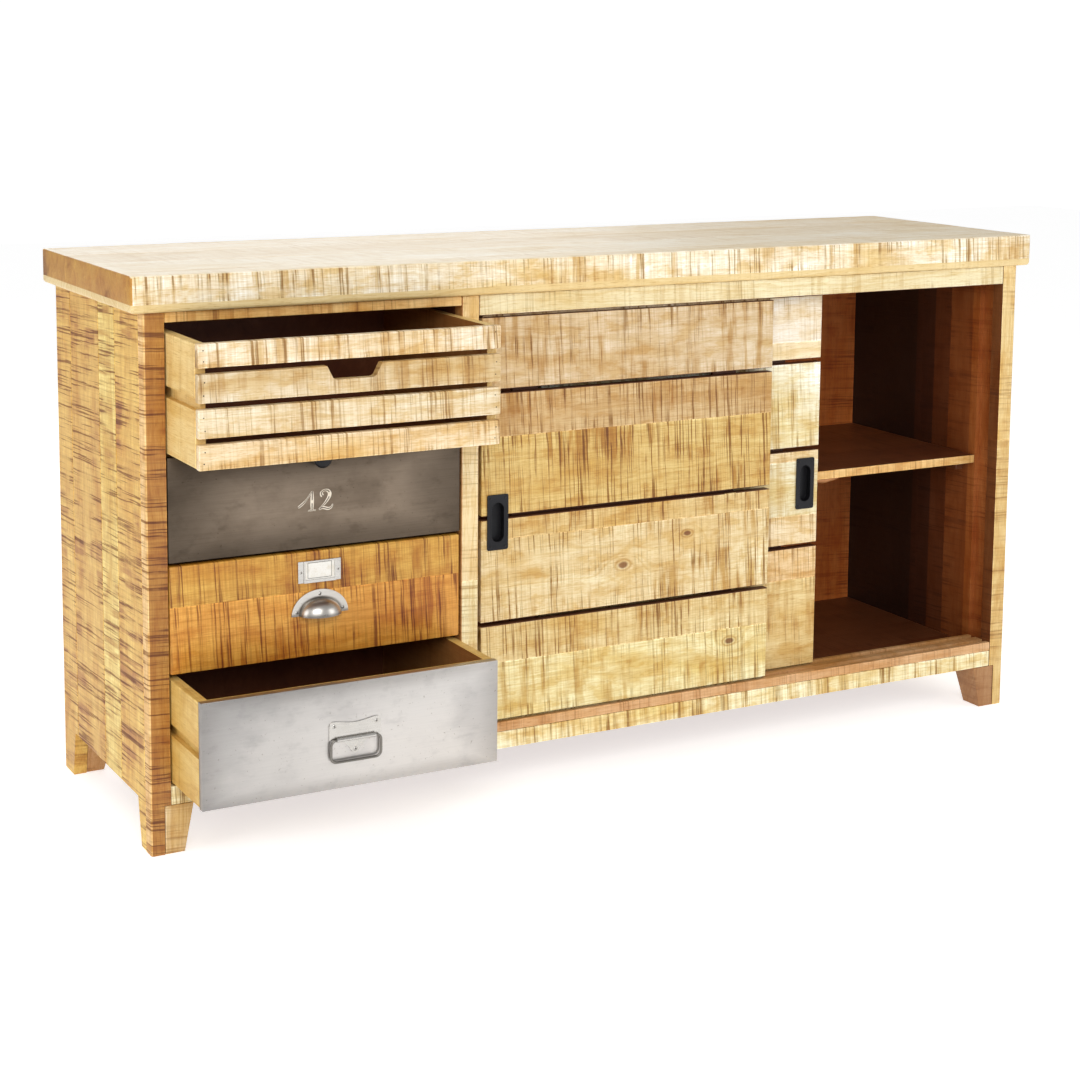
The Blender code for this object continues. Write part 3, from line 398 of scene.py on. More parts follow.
walnut = (104, 56, 27)
inside = {"tone": walnut, "sawn": 0.6}

# The top slab. A smoother band along its lower edge is painted golden, a painted highlight where the rounded
# edge catches light.
topLook = {
    "boards": [plank((239, 226, 200), 1.3, 0.95), plank((242, 231, 210), 2.9, 0.35),
               plank((237, 222, 196), 4.1, 0.35), plank((243, 230, 208), 5.7, 0.40)],
    "joints": (0.14, 0.42, 0.71), "upperFace": {"sawn": 0.24}, "ends": {"tone": (188, 138, 52), "sawn": 0.9},
    "litRoundedBand": {"tone": (224, 200, 146), "sawn": 0.15}, "litBandHeight": 0.0125,
}
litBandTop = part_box("top_slab")[0].z + topLook["litBandHeight"]
timber("top_slab", "x", topLook["boards"], "y", topLook["joints"], [
    (facing(z=1), topLook["upperFace"]),
    (facing(x=-1), topLook["ends"]),
    (facing(x=1), topLook["ends"]),
    (lambda normal, middle: middle.z < litBandTop, topLook["litRoundedBand"]),
], wear=0.0008, pitch=0.025, level=litBandTop)
print("top made")

# The carcass. The right side's inner face is stained and darkens in steps of painted shade towards the back:
# a share of its depth and a tone.
carcassLook = {
    "sides": [plank((218, 176, 82), 7.1, 1.5), plank((228, 200, 114), 8.3, 1.3),
              plank((212, 168, 78), 9.7, 1.5), plank((216, 172, 80), 10.9, 1.4)],
    "sideJoints": (0.268, 0.461, 0.814), "innerSkin": 0.012,
    "shadeSteps": [(0.13, (160, 90, 40)), (0.26, (134, 73, 33)), (0.38, (98, 50, 23)), (0.50, (60, 28, 14)),
               (1.10, (34, 16, 9))],
    "leftPost": [plank((170, 117, 46), 12.1, 1.35)], "leftPostOuter": {"tone": (224, 184, 120)},
    "rightPost": [plank((217, 185, 121), 13.7, 0.6), plank((225, 198, 140), 14.2, 0.6)],
    "rightPostInner": {"tone": (120, 70, 34)}, "rightPostJoint": 0.61,
    "centrePost": [plank((229, 211, 164), 15.3, 0.5), plank((230, 205, 156), 16.8, 0.5)],
    "centrePostLeft": {"tone": (178, 128, 74)}, "centrePostRight": {"tone": (150, 98, 54)},
    "centrePostJoint": 0.36,
    "feet": {"front_left": (215, 189, 145), "front_right": (165, 119, 73),
             "back_left": (196, 148, 92), "back_right": (196, 148, 92)},
    "rails": {"rail_bottom": plank((238, 226, 183), 21.1, 0.9),
              "rail_top_drawers": plank((226, 184, 116), 22.3, 0.8),
              "rail_top_doors": plank((224, 209, 167), 23.9, 0.4),
              "sill_track": plank((206, 160, 110), 24.4, 0.5)},
    "backOuter": {"tone": (180, 138, 82), "sawn": 0.9}, "shelfEdge": {"tone": (226, 184, 118), "sawn": 0.8},
}

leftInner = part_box("side_left")[1].x - carcassLook["innerSkin"]
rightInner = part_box("side_right")[0].x + carcassLook["innerSkin"]
timber("side_left", "z", carcassLook["sides"], "y", carcassLook["sideJoints"],
       [(lambda normal, middle: middle.x > leftInner, inside)])
rightLow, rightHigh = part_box("side_right")


def stainedAndShadedTo(reach, tone):
    # the stained inner face as far back as reach, in a tone of painted shade; the farthest goes first, so the
    # nearer ones go over it
    far = rightLow.y + (rightHigh.y - rightLow.y) * reach
    stain = dict(inside, tone=tone, sawn=0.7)
    return (lambda normal, middle: middle.x < rightInner and middle.y < far), stain


timber("side_right", "z", [dict(b, seed=b["seed"] + 30) for b in carcassLook["sides"]], "y",
       carcassLook["sideJoints"], [stainedAndShadedTo(*step) for step in reversed(carcassLook["shadeSteps"])])
timber("post_front_left", "z", carcassLook["leftPost"], "x",
       rules=[(facing(x=-1), carcassLook["leftPostOuter"])])
timber("post_front_right", "z", carcassLook["rightPost"], "z", (carcassLook["rightPostJoint"],),
       [(facing(x=-1), carcassLook["rightPostInner"])])
timber("post_centre", "z", carcassLook["centrePost"], "z", (carcassLook["centrePostJoint"],),
       [(facing(x=-1), carcassLook["centrePostLeft"]), (facing(x=1), carcassLook["centrePostRight"])])
for place, tone in carcassLook["feet"].items():
    timber("foot_" + place, "z", [plank(tone, 17.0 + len(place), 0.5)], "x")
for node, wood in carcassLook["rails"].items():
    hidden = [(facing(z=-1), {"tone": walnut}), (facing(y=1), {"tone": walnut})]
    timber(node, "x", [wood], rules=hidden if node == "rail_top_doors" else ())
for node, grain, seed in (("floor_panel", "x", 25.2), ("partition", "z", 26.6)):
    timber(node, grain, [dict(inside, seed=seed + i * 1.7) for i in range(4)], "y", (0.24, 0.5, 0.77))
# the back boards' inner face is painted lighter than the stained inside, as painted light from the front; the
# outer face has its own tone
backBoards = [plank((198 + i % 3 * 8, 110 + i % 3 * 6, 52), 31.0 + i * 1.3, 0.8) for i in range(8)]
timber("back_panel", "z", backBoards, "x", [i / 8 for i in range(1, 8)],
       [(facing(y=1), carcassLook["backOuter"])])
shelfBoards = [plank((104 + i * 6, 54 + i * 4, 25), 34.0 + i, 0.8) for i in range(3)]
timber("shelf", "x", shelfBoards, "y", (0.35, 0.68), [(facing(y=-1), carcassLook["shelfEdge"])])
for side in ("left", "right"):
    timber("shelf_cleat_" + side, "y", [dict(inside, seed=37.0)], "y")
    for number in range(1, 5):
        timber(f"runner_{number}_{side}", "y", [dict(inside, seed=38.0 + number)], "y")
print("carcass made")

# The drawers: a box's walls and how far off them a face still counts, then the tones.
drawerLook = {
    "wall": 0.0158, "slack": 0.002,
    "boxes": [(230, 201, 136), (226, 184, 120), (214, 166, 98), (219, 186, 110)],
    "hollow": dict(inside, tone=(112, 60, 28)), "lit": {"tone": (156, 104, 54), "sawn": 0.5},
    "slats": [((230, 212, 183), 0.9), ((213, 193, 158), 0.7), ((220, 200, 164), 0.8), ((226, 201, 161), 0.9)],
    "woodFront": [plank((216, 152, 60), 66.5, 1.3), plank((204, 154, 64), 68.5, 1.15)], "frontJoint": 0.62,
}


def inHollow(low, high):
    # a box's inner faces, without its rim
    wall, slack = drawerLook["wall"], drawerLook["slack"]
    return lambda normal, middle: (low.x + wall - slack < middle.x < high.x - wall + slack
                                   and middle.y < high.y - wall + slack and normal.z < 0.5)


def onRightWall(high):
    # the right wall's inner face, which catches the light
    far = high.x - drawerLook["wall"] - drawerLook["slack"]
    return lambda normal, middle: normal.x < -timberLook["squareOn"] and middle.x > far


for number, tone in enumerate(drawerLook["boxes"], start=1):
    box = f"drawer_{number}_box"
    low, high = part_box(box)
    timber(box, "y", [plank(tone, 41.0 + number * 2, 0.35)], "y",
           rules=[(inHollow(low, high), drawerLook["hollow"]), (onRightWall(high), drawerLook["lit"])])
    timber(f"drawer_{number}_bottom", "x", [dict(inside, seed=51.0 + number)], "y")
for number, (tone, sawn) in enumerate(drawerLook["slats"], start=1):
    timber(f"drawer_1_slat_{number}", "x", [plank(tone, 61.0 + number * 1.9, sawn)], wear=0.0007, pitch=0.018)
timber("drawer_3_front", "x", drawerLook["woodFront"], "z", (drawerLook["frontJoint"],),
       wear=0.0006)
print("drawers made")

# The sliding doors: each board's joints, then the tone and saw marks of each of its parts.
doorBoards = {
    "door_front_board_1": ((), [((206, 181, 143), 1.0)]),
    "door_front_board_2": ((0.643,), [((207, 175, 105), 1.5), ((197, 164, 114), 1.2)]),
    "door_front_board_3": ((0.80,), [((220, 197, 149), 1.1), ((214, 186, 128), 1.0)]),
    "door_front_board_4": ((0.63,), [((229, 215, 163), 0.9), ((215, 190, 134), 1.1)]),
    "door_rear_board_1": ((0.25,), [((236, 218, 180), 0.4), ((236, 225, 207), 0.5)]),
    "door_rear_board_2": ((), [((239, 236, 215), 0.8)]),
    "door_rear_board_3": ((0.31, 0.89), [((230, 208, 168), 0.8), ((230, 222, 192), 0.7),
                                         ((228, 206, 164), 0.8)]),
    "door_rear_board_4": ((0.75,), [((221, 195, 137), 0.7), ((224, 192, 142), 1.0)]),
}
# painted shade on the boards' upper and lower faces, which sit in the gaps between boards
gapShade = {"tone": (96, 56, 28), "sawn": 0.4}
# a knot in the lowest part: its place in shares of the board, and its radius
knots = {"door_front_board_3": ((0.475, 0.0, 0.40), 0.008),
         "door_front_board_4": ((0.86, 0.0, 0.50), 0.007)}
laterKnots = {"door_front_board_3": (0.5875, (0.70, 0.0, 0.64), 0.0062)}  # past this share of the length
for index, (node, (joints, looks)) in enumerate(doorBoards.items()):
    boards = [plank(tone, 71.0 + index * 3.1 + i * 1.3, sawn) for i, (tone, sawn) in enumerate(looks)]
    if node in knots:
        place, size = knots[node]
        boards[0].update(knot=place, knotSize=size)
    rules = [(facing(y=1), inside), (facing(z=1), gapShade), (facing(z=-1), gapShade)]
    if node in laterKnots:
        share, place, size = laterKnots[node]
        low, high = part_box(node)
        past = low.x + (high.x - low.x) * share
        beyond = {"knot": place, "knotSize": size}
        rules.insert(0, (lambda normal, middle, past=past: middle.x > past, beyond))
    timber(node, "x", boards, "z", joints, rules, wear=0.0007, pitch=0.022)
for side in ("front", "rear"):
    timber(f"door_{side}_battens", "z", [dict(inside, seed=99.0)])
print("doors made")

# The metals. dark multiplies a tone where it is clouded, and cloud is how strongly. rim darkens a
# sheet within reach of its edge, and leftShade darkens it within leftReach of its left end.
metalLooks = {
    "gunmetal_sheet": {
        "tone": (142, 127, 111), "dark": (0.48, 0.46, 0.44), "cloud": 0.7, "rough": 0.36, "relief": 0.0002,
        "sheet": "drawer_2_sheet", "rim": (0.36, 0.35, 0.34), "leftShade": 0.90, "reach": 0.075},
    "steel_sheet": {
        "tone": (208, 204, 200), "dark": (0.76, 0.76, 0.77), "cloud": 0.8, "rough": 0.30, "relief": 0.0003,
        "sheet": "drawer_4_sheet", "rim": (0.72, 0.71, 0.70), "leftShade": 0.78, "reach": 0.030},
    "nickel": {
        "tone": (200, 197, 192), "dark": (0.55, 0.53, 0.50), "cloud": 0.4, "rough": 0.20, "relief": 0.00005},
    "cup_nickel": {
        "tone": (206, 202, 196), "dark": (0.6, 0.57, 0.54), "cloud": 0.25, "rough": 0.24, "relief": 0.00002,
        "arch": "drawer_3_cup_pull"},
    "dull_nickel": {
        "tone": (128, 124, 118), "dark": (0.5, 0.48, 0.46), "cloud": 0.5, "rough": 0.24, "relief": 0.00005},
    "black_iron": {
        "tone": (36, 36, 39), "dark": (0.5, 0.5, 0.52), "cloud": 0.6, "rough": 0.38, "relief": 0.0002},
}
metalWear = {
    "cloudSize": (0.16, 0.16, 0.11), "stainSize": (0.035, 0.035, 0.02), "brushSize": (0.06, 0.0012, 0.0012),
    "speckSize": (0.004, 0.004, 0.004), "speckTint": (0.3, 0.25, 0.2), "leftReach": 0.30,
    "archShare": 0.76, "archLift": 1.10, "seamShade": (0.34, 0.32, 0.30),
}


def metalFinish(name, look):
    w = Wiring(name)
    wear = metalWear
    place = w.split(w.node("TexCoord").outputs["Object"])
    cloud = w.grainNoise(place, wear["cloudSize"], 5.0, 0.6)
    stain = w.grainNoise(place, wear["stainSize"], 4.0, 0.65)
    brushed = w.grainNoise(place, wear["brushSize"], 3.0, 0.6)
    speck = w.ease(w.grainNoise(place, wear["speckSize"], 2.0, 0.6), 0.68, 0.76)
    colour = w.tint(paint(*look["tone"]), w.ease(cloud, 0.40, 0.66, 0.0, look["cloud"]), look["dark"])
    colour = w.tint(colour, w.ease(stain, 0.52, 0.72, 0.0, 0.5 * look["cloud"]), look["dark"])
    colour = w.tint(colour, w.ease(brushed, 0.4, 0.7, 0.0, 0.15), look["dark"])
    colour = w.tint(colour, w.maths("MULTIPLY", speck, 0.5), wear["speckTint"])
    if "sheet" in look:
        # a sheet is darker round its rim and towards its left
        low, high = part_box(look["sheet"])
        side = w.maths("MINIMUM", w.maths("SUBTRACT", place[0], low.x), w.maths("SUBTRACT", high.x, place[0]))
        rise = w.maths("MINIMUM", w.maths("SUBTRACT", place[2], low.z), w.maths("SUBTRACT", high.z, place[2]))
        rim = w.maths("MINIMUM", w.maths("MULTIPLY", side, 0.6), w.maths("MULTIPLY", rise, 1.3))
        rim = w.maths("MULTIPLY_ADD", w.maths("SUBTRACT", cloud, 0.5), look["reach"], rim)
        colour = w.tint(colour, w.ease(rim, look["reach"], 0.0, 0.0, 0.85), look["rim"])
        shade = (look["leftShade"],) * 3
        colour = w.tint(colour, w.ease(place[0], low.x + wear["leftReach"], low.x), shade)
    if "arch" in look:
        # painted shade where the dome meets its flange and along the lip
        low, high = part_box(look["arch"])
        across = w.maths("SUBTRACT", place[0], (low.x + high.x) / 2)
        rise = w.maths("SUBTRACT", place[2], low.z)
        halfWidth = (high.x - low.x) / 2
        lifted = w.maths("MULTIPLY", rise, halfWidth / (high.z - low.z) * wear["archLift"])
        squares = [w.maths("MULTIPLY", value, value) for value in (across, lifted)]
        span = w.maths("SQRT", w.maths("ADD", *squares))
        uneven = w.maths("SUBTRACT", stain, 0.5)
        span = w.maths("MULTIPLY_ADD", uneven, 0.002, span)
        reach = halfWidth * wear["archShare"]
        seam = w.ease(w.maths("ABSOLUTE", w.maths("SUBTRACT", span, reach)), 0.0040, 0.0002, 0.0, 0.85)
        lip = w.ease(w.maths("MULTIPLY_ADD", uneven, 0.003, rise), 0.0060, 0.0015, 0.0, 0.8)
        colour = w.tint(colour, w.maths("MAXIMUM", seam, lip), wear["seamShade"])
    w.feed(w.shader.inputs["Base Color"], colour)
    w.shader.inputs["Metallic"].default_value = 0.6 if name == "black_iron" else 1.0
    rough = w.maths("MULTIPLY_ADD", stain, 0.22, look["rough"] - 0.08)
    rough = w.maths("MULTIPLY_ADD", brushed, 0.08, rough)
    w.feed(w.shader.inputs["Roughness"], rough)
    height = w.maths("MULTIPLY_ADD", brushed, 0.25, w.maths("MULTIPLY", stain, 0.9))
    w.bump(height, look["relief"], 0.6)
    return w.material


metals = {name: metalFinish(name, look) for name, look in metalLooks.items()}


def metalPiece(node, slot, sharp=30, look=None):
    made = toMesh(openNode(node), node + "_metal", [look or metals[slot]], node, sharp)
    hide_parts(node)


metalPiece("drawer_2_sheet", "gunmetal_sheet")
metalPiece("drawer_4_sheet", "steel_sheet")
metalPiece("drawer_2_knob", "black_iron", 50)
metalPiece("drawer_3_label_holder", "nickel")
metalPiece("drawer_3_cup_pull", "nickel", 40, metals["cup_nickel"])
metalPiece("drawer_4_handle_plate", "nickel", 35)
metalPiece("drawer_4_bail", "nickel", 60, metals["dull_nickel"])
metalPiece("door_front_pull", "black_iron", 35)
metalPiece("door_rear_pull", "black_iron", 35)
print("metal made")

# The small fittings: their tones, and the radius of each kind of screw's head.
fittingLook = {
    "cardStock": (236, 233, 226), "numberPaint": (236, 226, 208), "numberShadow": (96, 84, 72),
    "plug": (150, 96, 48), "screwDark": (52, 46, 40),
    "cupScrew": 0.0027, "holderScrew": 0.0019, "plateScrew": 0.0030, "doorScrew": 0.0019,
}


def plainFinish(name, tone, rough, grain, depth, metallic=0.0):
    w = Wiring(name)
    place = w.split(w.node("TexCoord").outputs["Object"])
    fine = w.grainNoise(place, (grain, grain, grain), 4.0, 0.6)
    broad = w.grainNoise(place, (grain * 9, grain * 9, grain * 9), 3.0)
    colour = w.tint(paint(*tone), w.ease(fine, 0.45, 0.70, 0.0, 0.5), (0.80, 0.76, 0.70))
    colour = w.tint(colour, w.ease(broad, 0.48, 0.70, 0.0, 0.6), (0.84, 0.79, 0.70))
    w.feed(w.shader.inputs["Base Color"], colour)
    w.feed(w.shader.inputs["Roughness"], w.maths("MULTIPLY_ADD", fine, 0.2, rough - 0.1))
    w.shader.inputs["Metallic"].default_value = metallic
    w.bump(fine, depth, 0.5)
    return w.material


cardStock = plainFinish("card_stock", fittingLook["cardStock"], 0.8, 0.0012, 0.0001)
numberPaint = plainFinish("number_paint", fittingLook["numberPaint"], 0.6, 0.0016, 0.0001)
shadowPaint = plainFinish("number_shadow", fittingLook["numberShadow"], 0.6, 0.0016, 0.0001)
plugWood = plainFinish("plug_wood", fittingLook["plug"], 0.55, 0.003, 0.0002)
screwCut = plainFinish("screw_cut", fittingLook["screwDark"], 0.5, 0.001, 0.0001, 0.6)


def addScrew(shape, place, radius, turn, marked):
    # a domed head that faces the front, with a cross cut shown as two dark bars a little proud of the dome:
    # painted shade in place of the cut's recess
    dome = [(0.0, -0.42), (0.35, -0.40), (0.68, -0.31), (0.90, -0.17), (1.0, 0.0)]
    points = [shape.verts.new(Vector(place) + Vector((r * radius, depth * radius, 0.0))) for r, depth in dome]
    rim = [shape.edges.new(pair) for pair in zip(points, points[1:])]
    bmesh.ops.spin(shape, geom=points + rim, cent=place, axis=(0, 1, 0), dvec=(0, 0, 0),
                   angle=math.tau, steps=18, use_merge=True)
    bmesh.ops.remove_doubles(shape, verts=shape.verts, dist=0.00001)
    bmesh.ops.holes_fill(shape, edges=[edge for edge in shape.edges if edge.is_boundary])
    for side in range(2):
        size = (radius * 1.15, radius * 0.10, radius * 0.24)
        spin = Matrix.Rotation(turn + side * math.pi / 2, 4, "Y")
        spot = Matrix.Translation(Vector(place) + Vector((0, -0.40 * radius, 0)))
        made = bmesh.ops.create_cube(shape, size=1.0, matrix=spot @ spin @ Matrix.Diagonal((*size, 1.0)))
        marked.extend({face for vert in made["verts"] for face in vert.link_faces})


def screws(name, node, spots, radius, slot):
    # spots are (x from the piece's middle, y of the face, z)
    low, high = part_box(node)
    shape, marked = bmesh.new(), []
    for index, (x, y, z) in enumerate(spots):
        addScrew(shape, ((low.x + high.x) / 2 + x, y, z), radius, 0.4 + index * 1.1, marked)
    for face in marked:
        if face.is_valid:
            face.material_index = 1
    bmesh.ops.recalc_face_normals(shape, faces=shape.faces)
    toMesh(shape, name, [metals[slot], screwCut], node, 40)


cupLow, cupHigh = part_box("drawer_3_cup_pull")
cupFace = cupHigh.y - 0.0016
screws("cup_pull_screws", "drawer_3_cup_pull",
       [(-0.0360, cupFace, cupLow.z + 0.006), (0.0360, cupFace, cupLow.z + 0.006),
        (0.0, cupFace, cupLow.z + 0.0305)], fittingLook["cupScrew"], "nickel")
holderLow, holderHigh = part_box("drawer_3_label_holder")
holderMiddle = (holderLow.z + holderHigh.z) / 2
screws("card_holder_screws", "drawer_3_label_holder",
       [(side * 0.0290, holderHigh.y - 0.0010, holderMiddle) for side in (-1, 1)],
       fittingLook["holderScrew"], "nickel")
plateLow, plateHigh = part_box("drawer_4_handle_plate")
plateFace = plateHigh.y - 0.0014
screws("chest_handle_screws", "drawer_4_handle_plate",
       [(-0.0326, plateFace, plateHigh.z - 0.0067), (0.0326, plateFace, plateHigh.z - 0.0067),
        (0.0, plateFace, plateLow.z + 0.0063)], fittingLook["plateScrew"], "nickel")
for side in ("front", "rear"):
    low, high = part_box(f"door_{side}_pull")
    spots = [(x, low.y, z) for x in (-0.0125, 0.0125) for z in (low.z + 0.0055, high.z - 0.0055)]
    screws(f"door_{side}_pull_screws", f"door_{side}_pull", spots, fittingLook["doorScrew"], "black_iron")


cardLook = {"width": 0.0466, "height": 0.0272, "bow": 0.00025, "thickness": 0.00012,
            "ruleLength": 0.80, "ruleHeight": 0.84, "ruleLine": 0.0006, "ruleDepth": 0.00006}


def makeCard():
    # a card slipped in behind the rim and bowed a little, with a ruled border
    width, height = cardLook["width"], cardLook["height"]
    middle = (holderLow.x + holderHigh.x) / 2
    shape = bmesh.new()
    bmesh.ops.create_grid(shape, x_segments=16, y_segments=10, size=0.5)
    bmesh.ops.scale(shape, vec=(width, height, 1.0), verts=shape.verts)
    bmesh.ops.rotate(shape, verts=shape.verts, matrix=Matrix.Rotation(math.pi / 2, 3, "X"))
    for vert in shape.verts:
        vert.co.y = cardLook["bow"] * (math.cos(vert.co.x / width * math.pi) - 1.0)
    centre = holderHigh.z - 0.0010 - height / 2
    bmesh.ops.translate(shape, verts=shape.verts, vec=(middle, holderHigh.y - 0.00112, centre))
    bmesh.ops.solidify(shape, geom=shape.faces, thickness=cardLook["thickness"])
    long, tall, line = cardLook["ruleLength"] * width, cardLook["ruleHeight"] * height, cardLook["ruleLine"]
    ruled = []
    for x, z, sizeX, sizeZ in ((0, 0.42, long, line), (0, -0.42, long, line),
                               (-0.40, 0, line, tall), (0.40, 0, line, tall)):
        spot = Matrix.Translation((middle + x * width, holderHigh.y - 0.00130, centre + z * height))
        size = Matrix.Diagonal((sizeX, cardLook["ruleDepth"], sizeZ, 1.0))
        made = bmesh.ops.create_cube(shape, size=1.0, matrix=spot @ size)
        ruled.extend({face for vert in made["verts"] for face in vert.link_faces})
    for face in ruled:
        face.material_index = 1
    bmesh.ops.recalc_face_normals(shape, faces=shape.faces)
    toMesh(shape, "holder_card", [cardStock, screwCut], "drawer_3_label_holder", 40)


makeCard()

# Strokes of the painted 12: (x, z, half width) in millimetres from its lower left.
numberPlace = (0.1950, 0.0545)   # from the sheet's lower left
numberStrokes = [
    [(0.5, 7.0, 1.0), (4.5, 9.6, 1.5), (9.0, 13.0, 1.3), (14.0, 18.0, 0.8), (19.0, 24.5, 0.8),
     (22.5, 29.0, 0.9)],
    [(22.6, 29.0, 1.1), (22.4, 22.0, 1.9), (22.2, 14.0, 2.1), (22.0, 6.0, 1.9), (22.0, 1.5, 1.2)],
    [(16.0, 1.0, 0.6), (19.0, 1.4, 0.9), (23.0, 1.4, 0.9), (28.0, 0.8, 0.6)],
    [(38.5, 21.0, 2.0), (36.2, 23.6, 2.1), (37.6, 27.6, 1.2), (42.5, 29.6, 1.1), (48.0, 28.0, 1.9),
     (50.4, 22.8, 2.2), (47.6, 16.4, 1.9), (42.0, 9.6, 1.2), (35.6, 3.6, 0.8), (33.0, 1.2, 0.7)],
    [(33.0, 1.4, 0.9), (37.6, 4.2, 1.5), (43.0, 2.6, 1.7), (48.4, 1.0, 1.5), (53.2, 3.6, 1.0),
     (54.4, 7.8, 0.6)],
]


def paintNumber(name, thin, proud, material):
    # flattened brush strokes, lying on the sheet
    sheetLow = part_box("drawer_2_sheet")[0]
    spot = Vector((sheetLow.x + numberPlace[0], sheetLow.y - proud, sheetLow.z + numberPlace[1]))
    joined = bmesh.new()
    for stroke in numberStrokes:
        curve = bpy.data.curves.new(name, "CURVE")
        curve.dimensions, curve.bevel_depth, curve.bevel_resolution = "3D", 0.001, 2
        curve.use_fill_caps, curve.resolution_u = True, 6
        line = curve.splines.new("NURBS")
        line.points.add(len(stroke) - 1)
        line.order_u, line.use_endpoint_u = 3, True
        for point, (x, z, half) in zip(line.points, stroke):
            point.co, point.radius = (x / 1000, 0.0, z / 1000, 1.0), half * thin
        brush = bpy.data.objects.new(name, curve)
        bpy.context.scene.collection.objects.link(brush)
        bpy.context.view_layer.update()
        flat = bpy.data.meshes.new_from_object(brush.evaluated_get(bpy.context.evaluated_depsgraph_get()))
        bpy.data.objects.remove(brush)
        joined.from_mesh(flat)
    for vert in joined.verts:
        vert.co.y *= 0.08
    bmesh.ops.translate(joined, verts=joined.verts, vec=spot)
    toMesh(joined, name, [material], "drawer_2_sheet", 60)


paintNumber("number_twelve", 1.35, 0.00005, numberPaint)
paintNumber("number_twelve_worn", 0.55, 0.00018, shadowPaint)


plugLook = {"sizes": ((0.0490, 0.0085), (0.0900, 0.0115)), "behind": 0.0015}


def makePlugs():
    # two dowel plugs in the rear door, each with its distance down and its radius
    # the front door hides them while the doors stand at rest
    doorLow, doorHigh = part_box("door_rear_board_1")
    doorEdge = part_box("door_front_board_1")[1].x
    shape = bmesh.new()
    for down, radius in plugLook["sizes"]:
        place = Vector((doorEdge - plugLook["behind"], doorLow.y + 0.0004, doorHigh.z - down))
        dome = [(0.0, -0.0022), (0.5, -0.0019), (0.85, -0.0012), (1.0, -0.0002), (1.0, 0.0008)]
        points = [shape.verts.new(place + Vector((r * radius, depth, 0.0))) for r, depth in dome]
        rim = [shape.edges.new(pair) for pair in zip(points, points[1:])]
        bmesh.ops.spin(shape, geom=points + rim, cent=place, axis=(0, 1, 0), dvec=(0, 0, 0),
                       angle=math.tau, steps=24, use_merge=True)
    bmesh.ops.remove_doubles(shape, verts=shape.verts, dist=0.00001)
    bmesh.ops.holes_fill(shape, edges=[edge for edge in shape.edges if edge.is_boundary])
    bmesh.ops.recalc_face_normals(shape, faces=shape.faces)
    toMesh(shape, "rear_door_plugs", [plugWood], "door_rear_board_1", 35)


makePlugs()


waneLook = {"size": (0.036, 0.007, 0.0085), "along": 0.686, "inward": 0.0075, "up": 0.0012,
            "wood": {"tone": (168, 112, 62), "seed": 36.4, "sawn": 0.4}}


def makeWane():
    # the shelf's front board keeps a strip of rounded outer wood below one stretch of its edge
    low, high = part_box("shelf")
    shape = bmesh.new()
    bmesh.ops.create_uvsphere(shape, u_segments=28, v_segments=14, radius=1.0,
                              matrix=Matrix.Diagonal((*waneLook["size"], 1.0)))
    spot = (low.x + waneLook["along"], low.y + waneLook["inward"], low.z + waneLook["up"])
    bmesh.ops.translate(shape, verts=shape.verts, vec=spot)
    for vert in shape.verts:
        vert.co.z += noise.noise(vert.co * 90.0) * 0.0016
    bmesh.ops.bisect_plane(shape, geom=shape.verts[:] + shape.edges[:] + shape.faces[:], dist=0.00001,
                           plane_co=(0, 0, low.z - 0.0002), plane_no=(0, 0, 1), clear_outer=True)
    bmesh.ops.holes_fill(shape, edges=[edge for edge in shape.edges if edge.is_boundary])
    bmesh.ops.recalc_face_normals(shape, faces=shape.faces)
    markBoards(shape, low, high, 1, (), [waneLook["wood"]], ())
    toMesh(shape, "shelf_wane", [woods["x"]], "shelf", 40)


makeWane()


nailLook = {"radius": 0.0011, "face": 0.0009, "depth": 0.0007, "inward": 0.0085, "shares": (0.28, 0.72)}


def makeNails():
    # lost-head nails that hold each slat to the drawer's sides
    shape = bmesh.new()
    for number in range(1, 5):
        low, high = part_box(f"drawer_1_slat_{number}")
        for x in (low.x + nailLook["inward"], high.x - nailLook["inward"]):
            for share in nailLook["shares"]:
                aside = 0.001 * math.sin(number * 3.7 + share * 9)
                spot = Vector((x + aside, low.y + 0.00055, low.z + (high.z - low.z) * share))
                turn = Matrix.Translation(spot) @ Matrix.Rotation(math.pi / 2, 4, "X")
                bmesh.ops.create_cone(shape, cap_ends=True, segments=12, radius1=nailLook["radius"],
                                      radius2=nailLook["face"], depth=nailLook["depth"], matrix=turn)
    bmesh.ops.recalc_face_normals(shape, faces=shape.faces)
    toMesh(shape, "slat_nails", [screwCut], "drawer_1", 40)


makeNails()
print("fittings made")

# The studio: how brightly the white world lights the piece and shows behind it, and the floor.
studio = {"ambient": 0.46, "backdrop": 1.05, "floorGlow": 0.62, "floorTone": (228, 228, 228),
          "floorSize": 9.0, "floorDrop": 0.0004}


def makeFloor():
    shape = bmesh.new()
    bmesh.ops.create_grid(shape, x_segments=8, y_segments=8, size=studio["floorSize"])
    data = bpy.data.meshes.new("studio_floor")
    shape.to_mesh(data)
    shape.free()
    w = Wiring("studio_floor")
    place = w.split(w.node("TexCoord").outputs["Object"])
    soft = w.grainNoise(place, (0.8, 0.8, 0.8), 2.0)
    tone = w.tint(paint(*studio["floorTone"]), w.ease(soft, 0.3, 0.7, 0.0, 0.3), (0.98, 0.98, 0.98))
    w.feed(w.shader.inputs["Base Color"], tone)
    w.shader.inputs["Roughness"].default_value = 0.9
    w.shader.inputs["Emission Color"].default_value = (1.0, 1.0, 1.0, 1.0)
    w.shader.inputs["Emission Strength"].default_value = studio["floorGlow"]
    data.materials.append(w.material)
    floor = bpy.data.objects.new("studio_floor", data)
    floor.location.z = cadBox[0][2] - studio["floorDrop"]
    bpy.context.scene.collection.objects.link(floor)


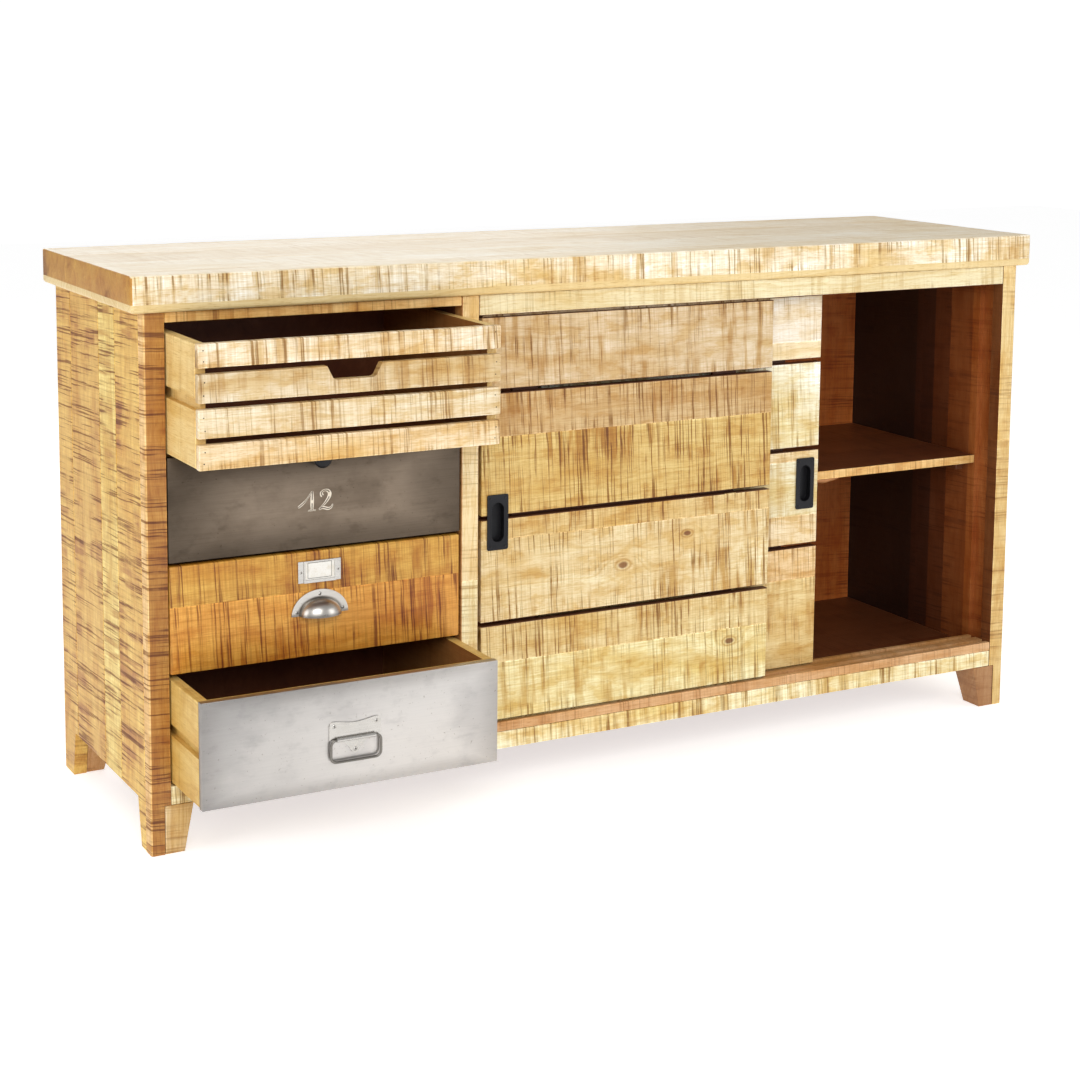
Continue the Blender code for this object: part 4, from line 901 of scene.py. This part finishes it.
def makeWorld():
    world = bpy.data.worlds.new("studio")
    bpy.context.scene.world = world
    world.use_nodes = True
    tree = world.node_tree
    back = tree.nodes["Background"]
    back.inputs["Color"].default_value = (1.0, 1.0, 1.0, 1.0)
    path = tree.nodes.new("ShaderNodeLightPath")
    power = tree.nodes.new("ShaderNodeMapRange")
    power.inputs["To Min"].default_value = studio["ambient"]
    power.inputs["To Max"].default_value = studio["backdrop"]
    tree.links.new(path.outputs["Is Camera Ray"], power.inputs["Value"])
    tree.links.new(power.outputs[0], back.inputs["Strength"])


def areaLight(name, place, target, size, power):
    lamp = bpy.data.lights.new(name, "AREA")
    lamp.shape = "RECTANGLE"
    lamp.size, lamp.size_y = size
    lamp.energy = power
    made = bpy.data.objects.new(name, lamp)
    made.location = place
    made.rotation_euler = (Vector(target) - Vector(place)).to_track_quat("-Z", "Y").to_euler()
    bpy.context.scene.collection.objects.link(made)


def makeCamera():
    look = {"place": (-0.9037, -2.7882, 1.1517), "yaw": 28.684, "pitch": 7.555, "roll": 0.486,
            "lens": 70.48, "shift": -0.20}
    yaw, pitch, roll = (math.radians(look[key]) for key in ("yaw", "pitch", "roll"))
    ahead = Vector((math.sin(yaw) * math.cos(pitch), math.cos(yaw) * math.cos(pitch), -math.sin(pitch)))
    right = Vector((math.cos(yaw), -math.sin(yaw), 0.0))
    up = right.cross(ahead)
    tiltedRight = right * math.cos(roll) + up * math.sin(roll)
    tiltedUp = up * math.cos(roll) - right * math.sin(roll)
    lens = bpy.data.cameras.new("camera")
    lens.lens, lens.sensor_width, lens.shift_y = look["lens"], 36.0, look["shift"]
    camera = bpy.data.objects.new("camera", lens)
    camera.matrix_world = Matrix((
        (tiltedRight.x, tiltedUp.x, -ahead.x, corner.x + look["place"][0]),
        (tiltedRight.y, tiltedUp.y, -ahead.y, corner.y + look["place"][1]),
        (tiltedRight.z, tiltedUp.z, -ahead.z, look["place"][2]), (0, 0, 0, 1)))
    bpy.context.scene.collection.objects.link(camera)
    bpy.context.scene.camera = camera


makeFloor()
makeWorld()
areaLight("key", (-1.6, -3.4, 2.4), (0, 0, 0.4), (2.2, 1.8), 74)
areaLight("fill", (2.6, -2.6, 1.4), (0.2, 0, 0.4), (1.8, 1.8), 22)
areaLight("overhead", (0.2, 0.2, 3.4), (0, 0, 0.8), (3.0, 2.0), 8)
areaLight("side", (-3.4, -0.4, 1.3), (-0.8, 0.1, 0.4), (1.6, 1.8), 20)
areaLight("behind", (0.5, 3.2, 2.2), (0, 0, 0.4), (3.0, 1.6), 35)
makeCamera()
bpy.context.scene.view_settings.view_transform = "Standard"
print("studio made")

bpy.context.view_layer.update()
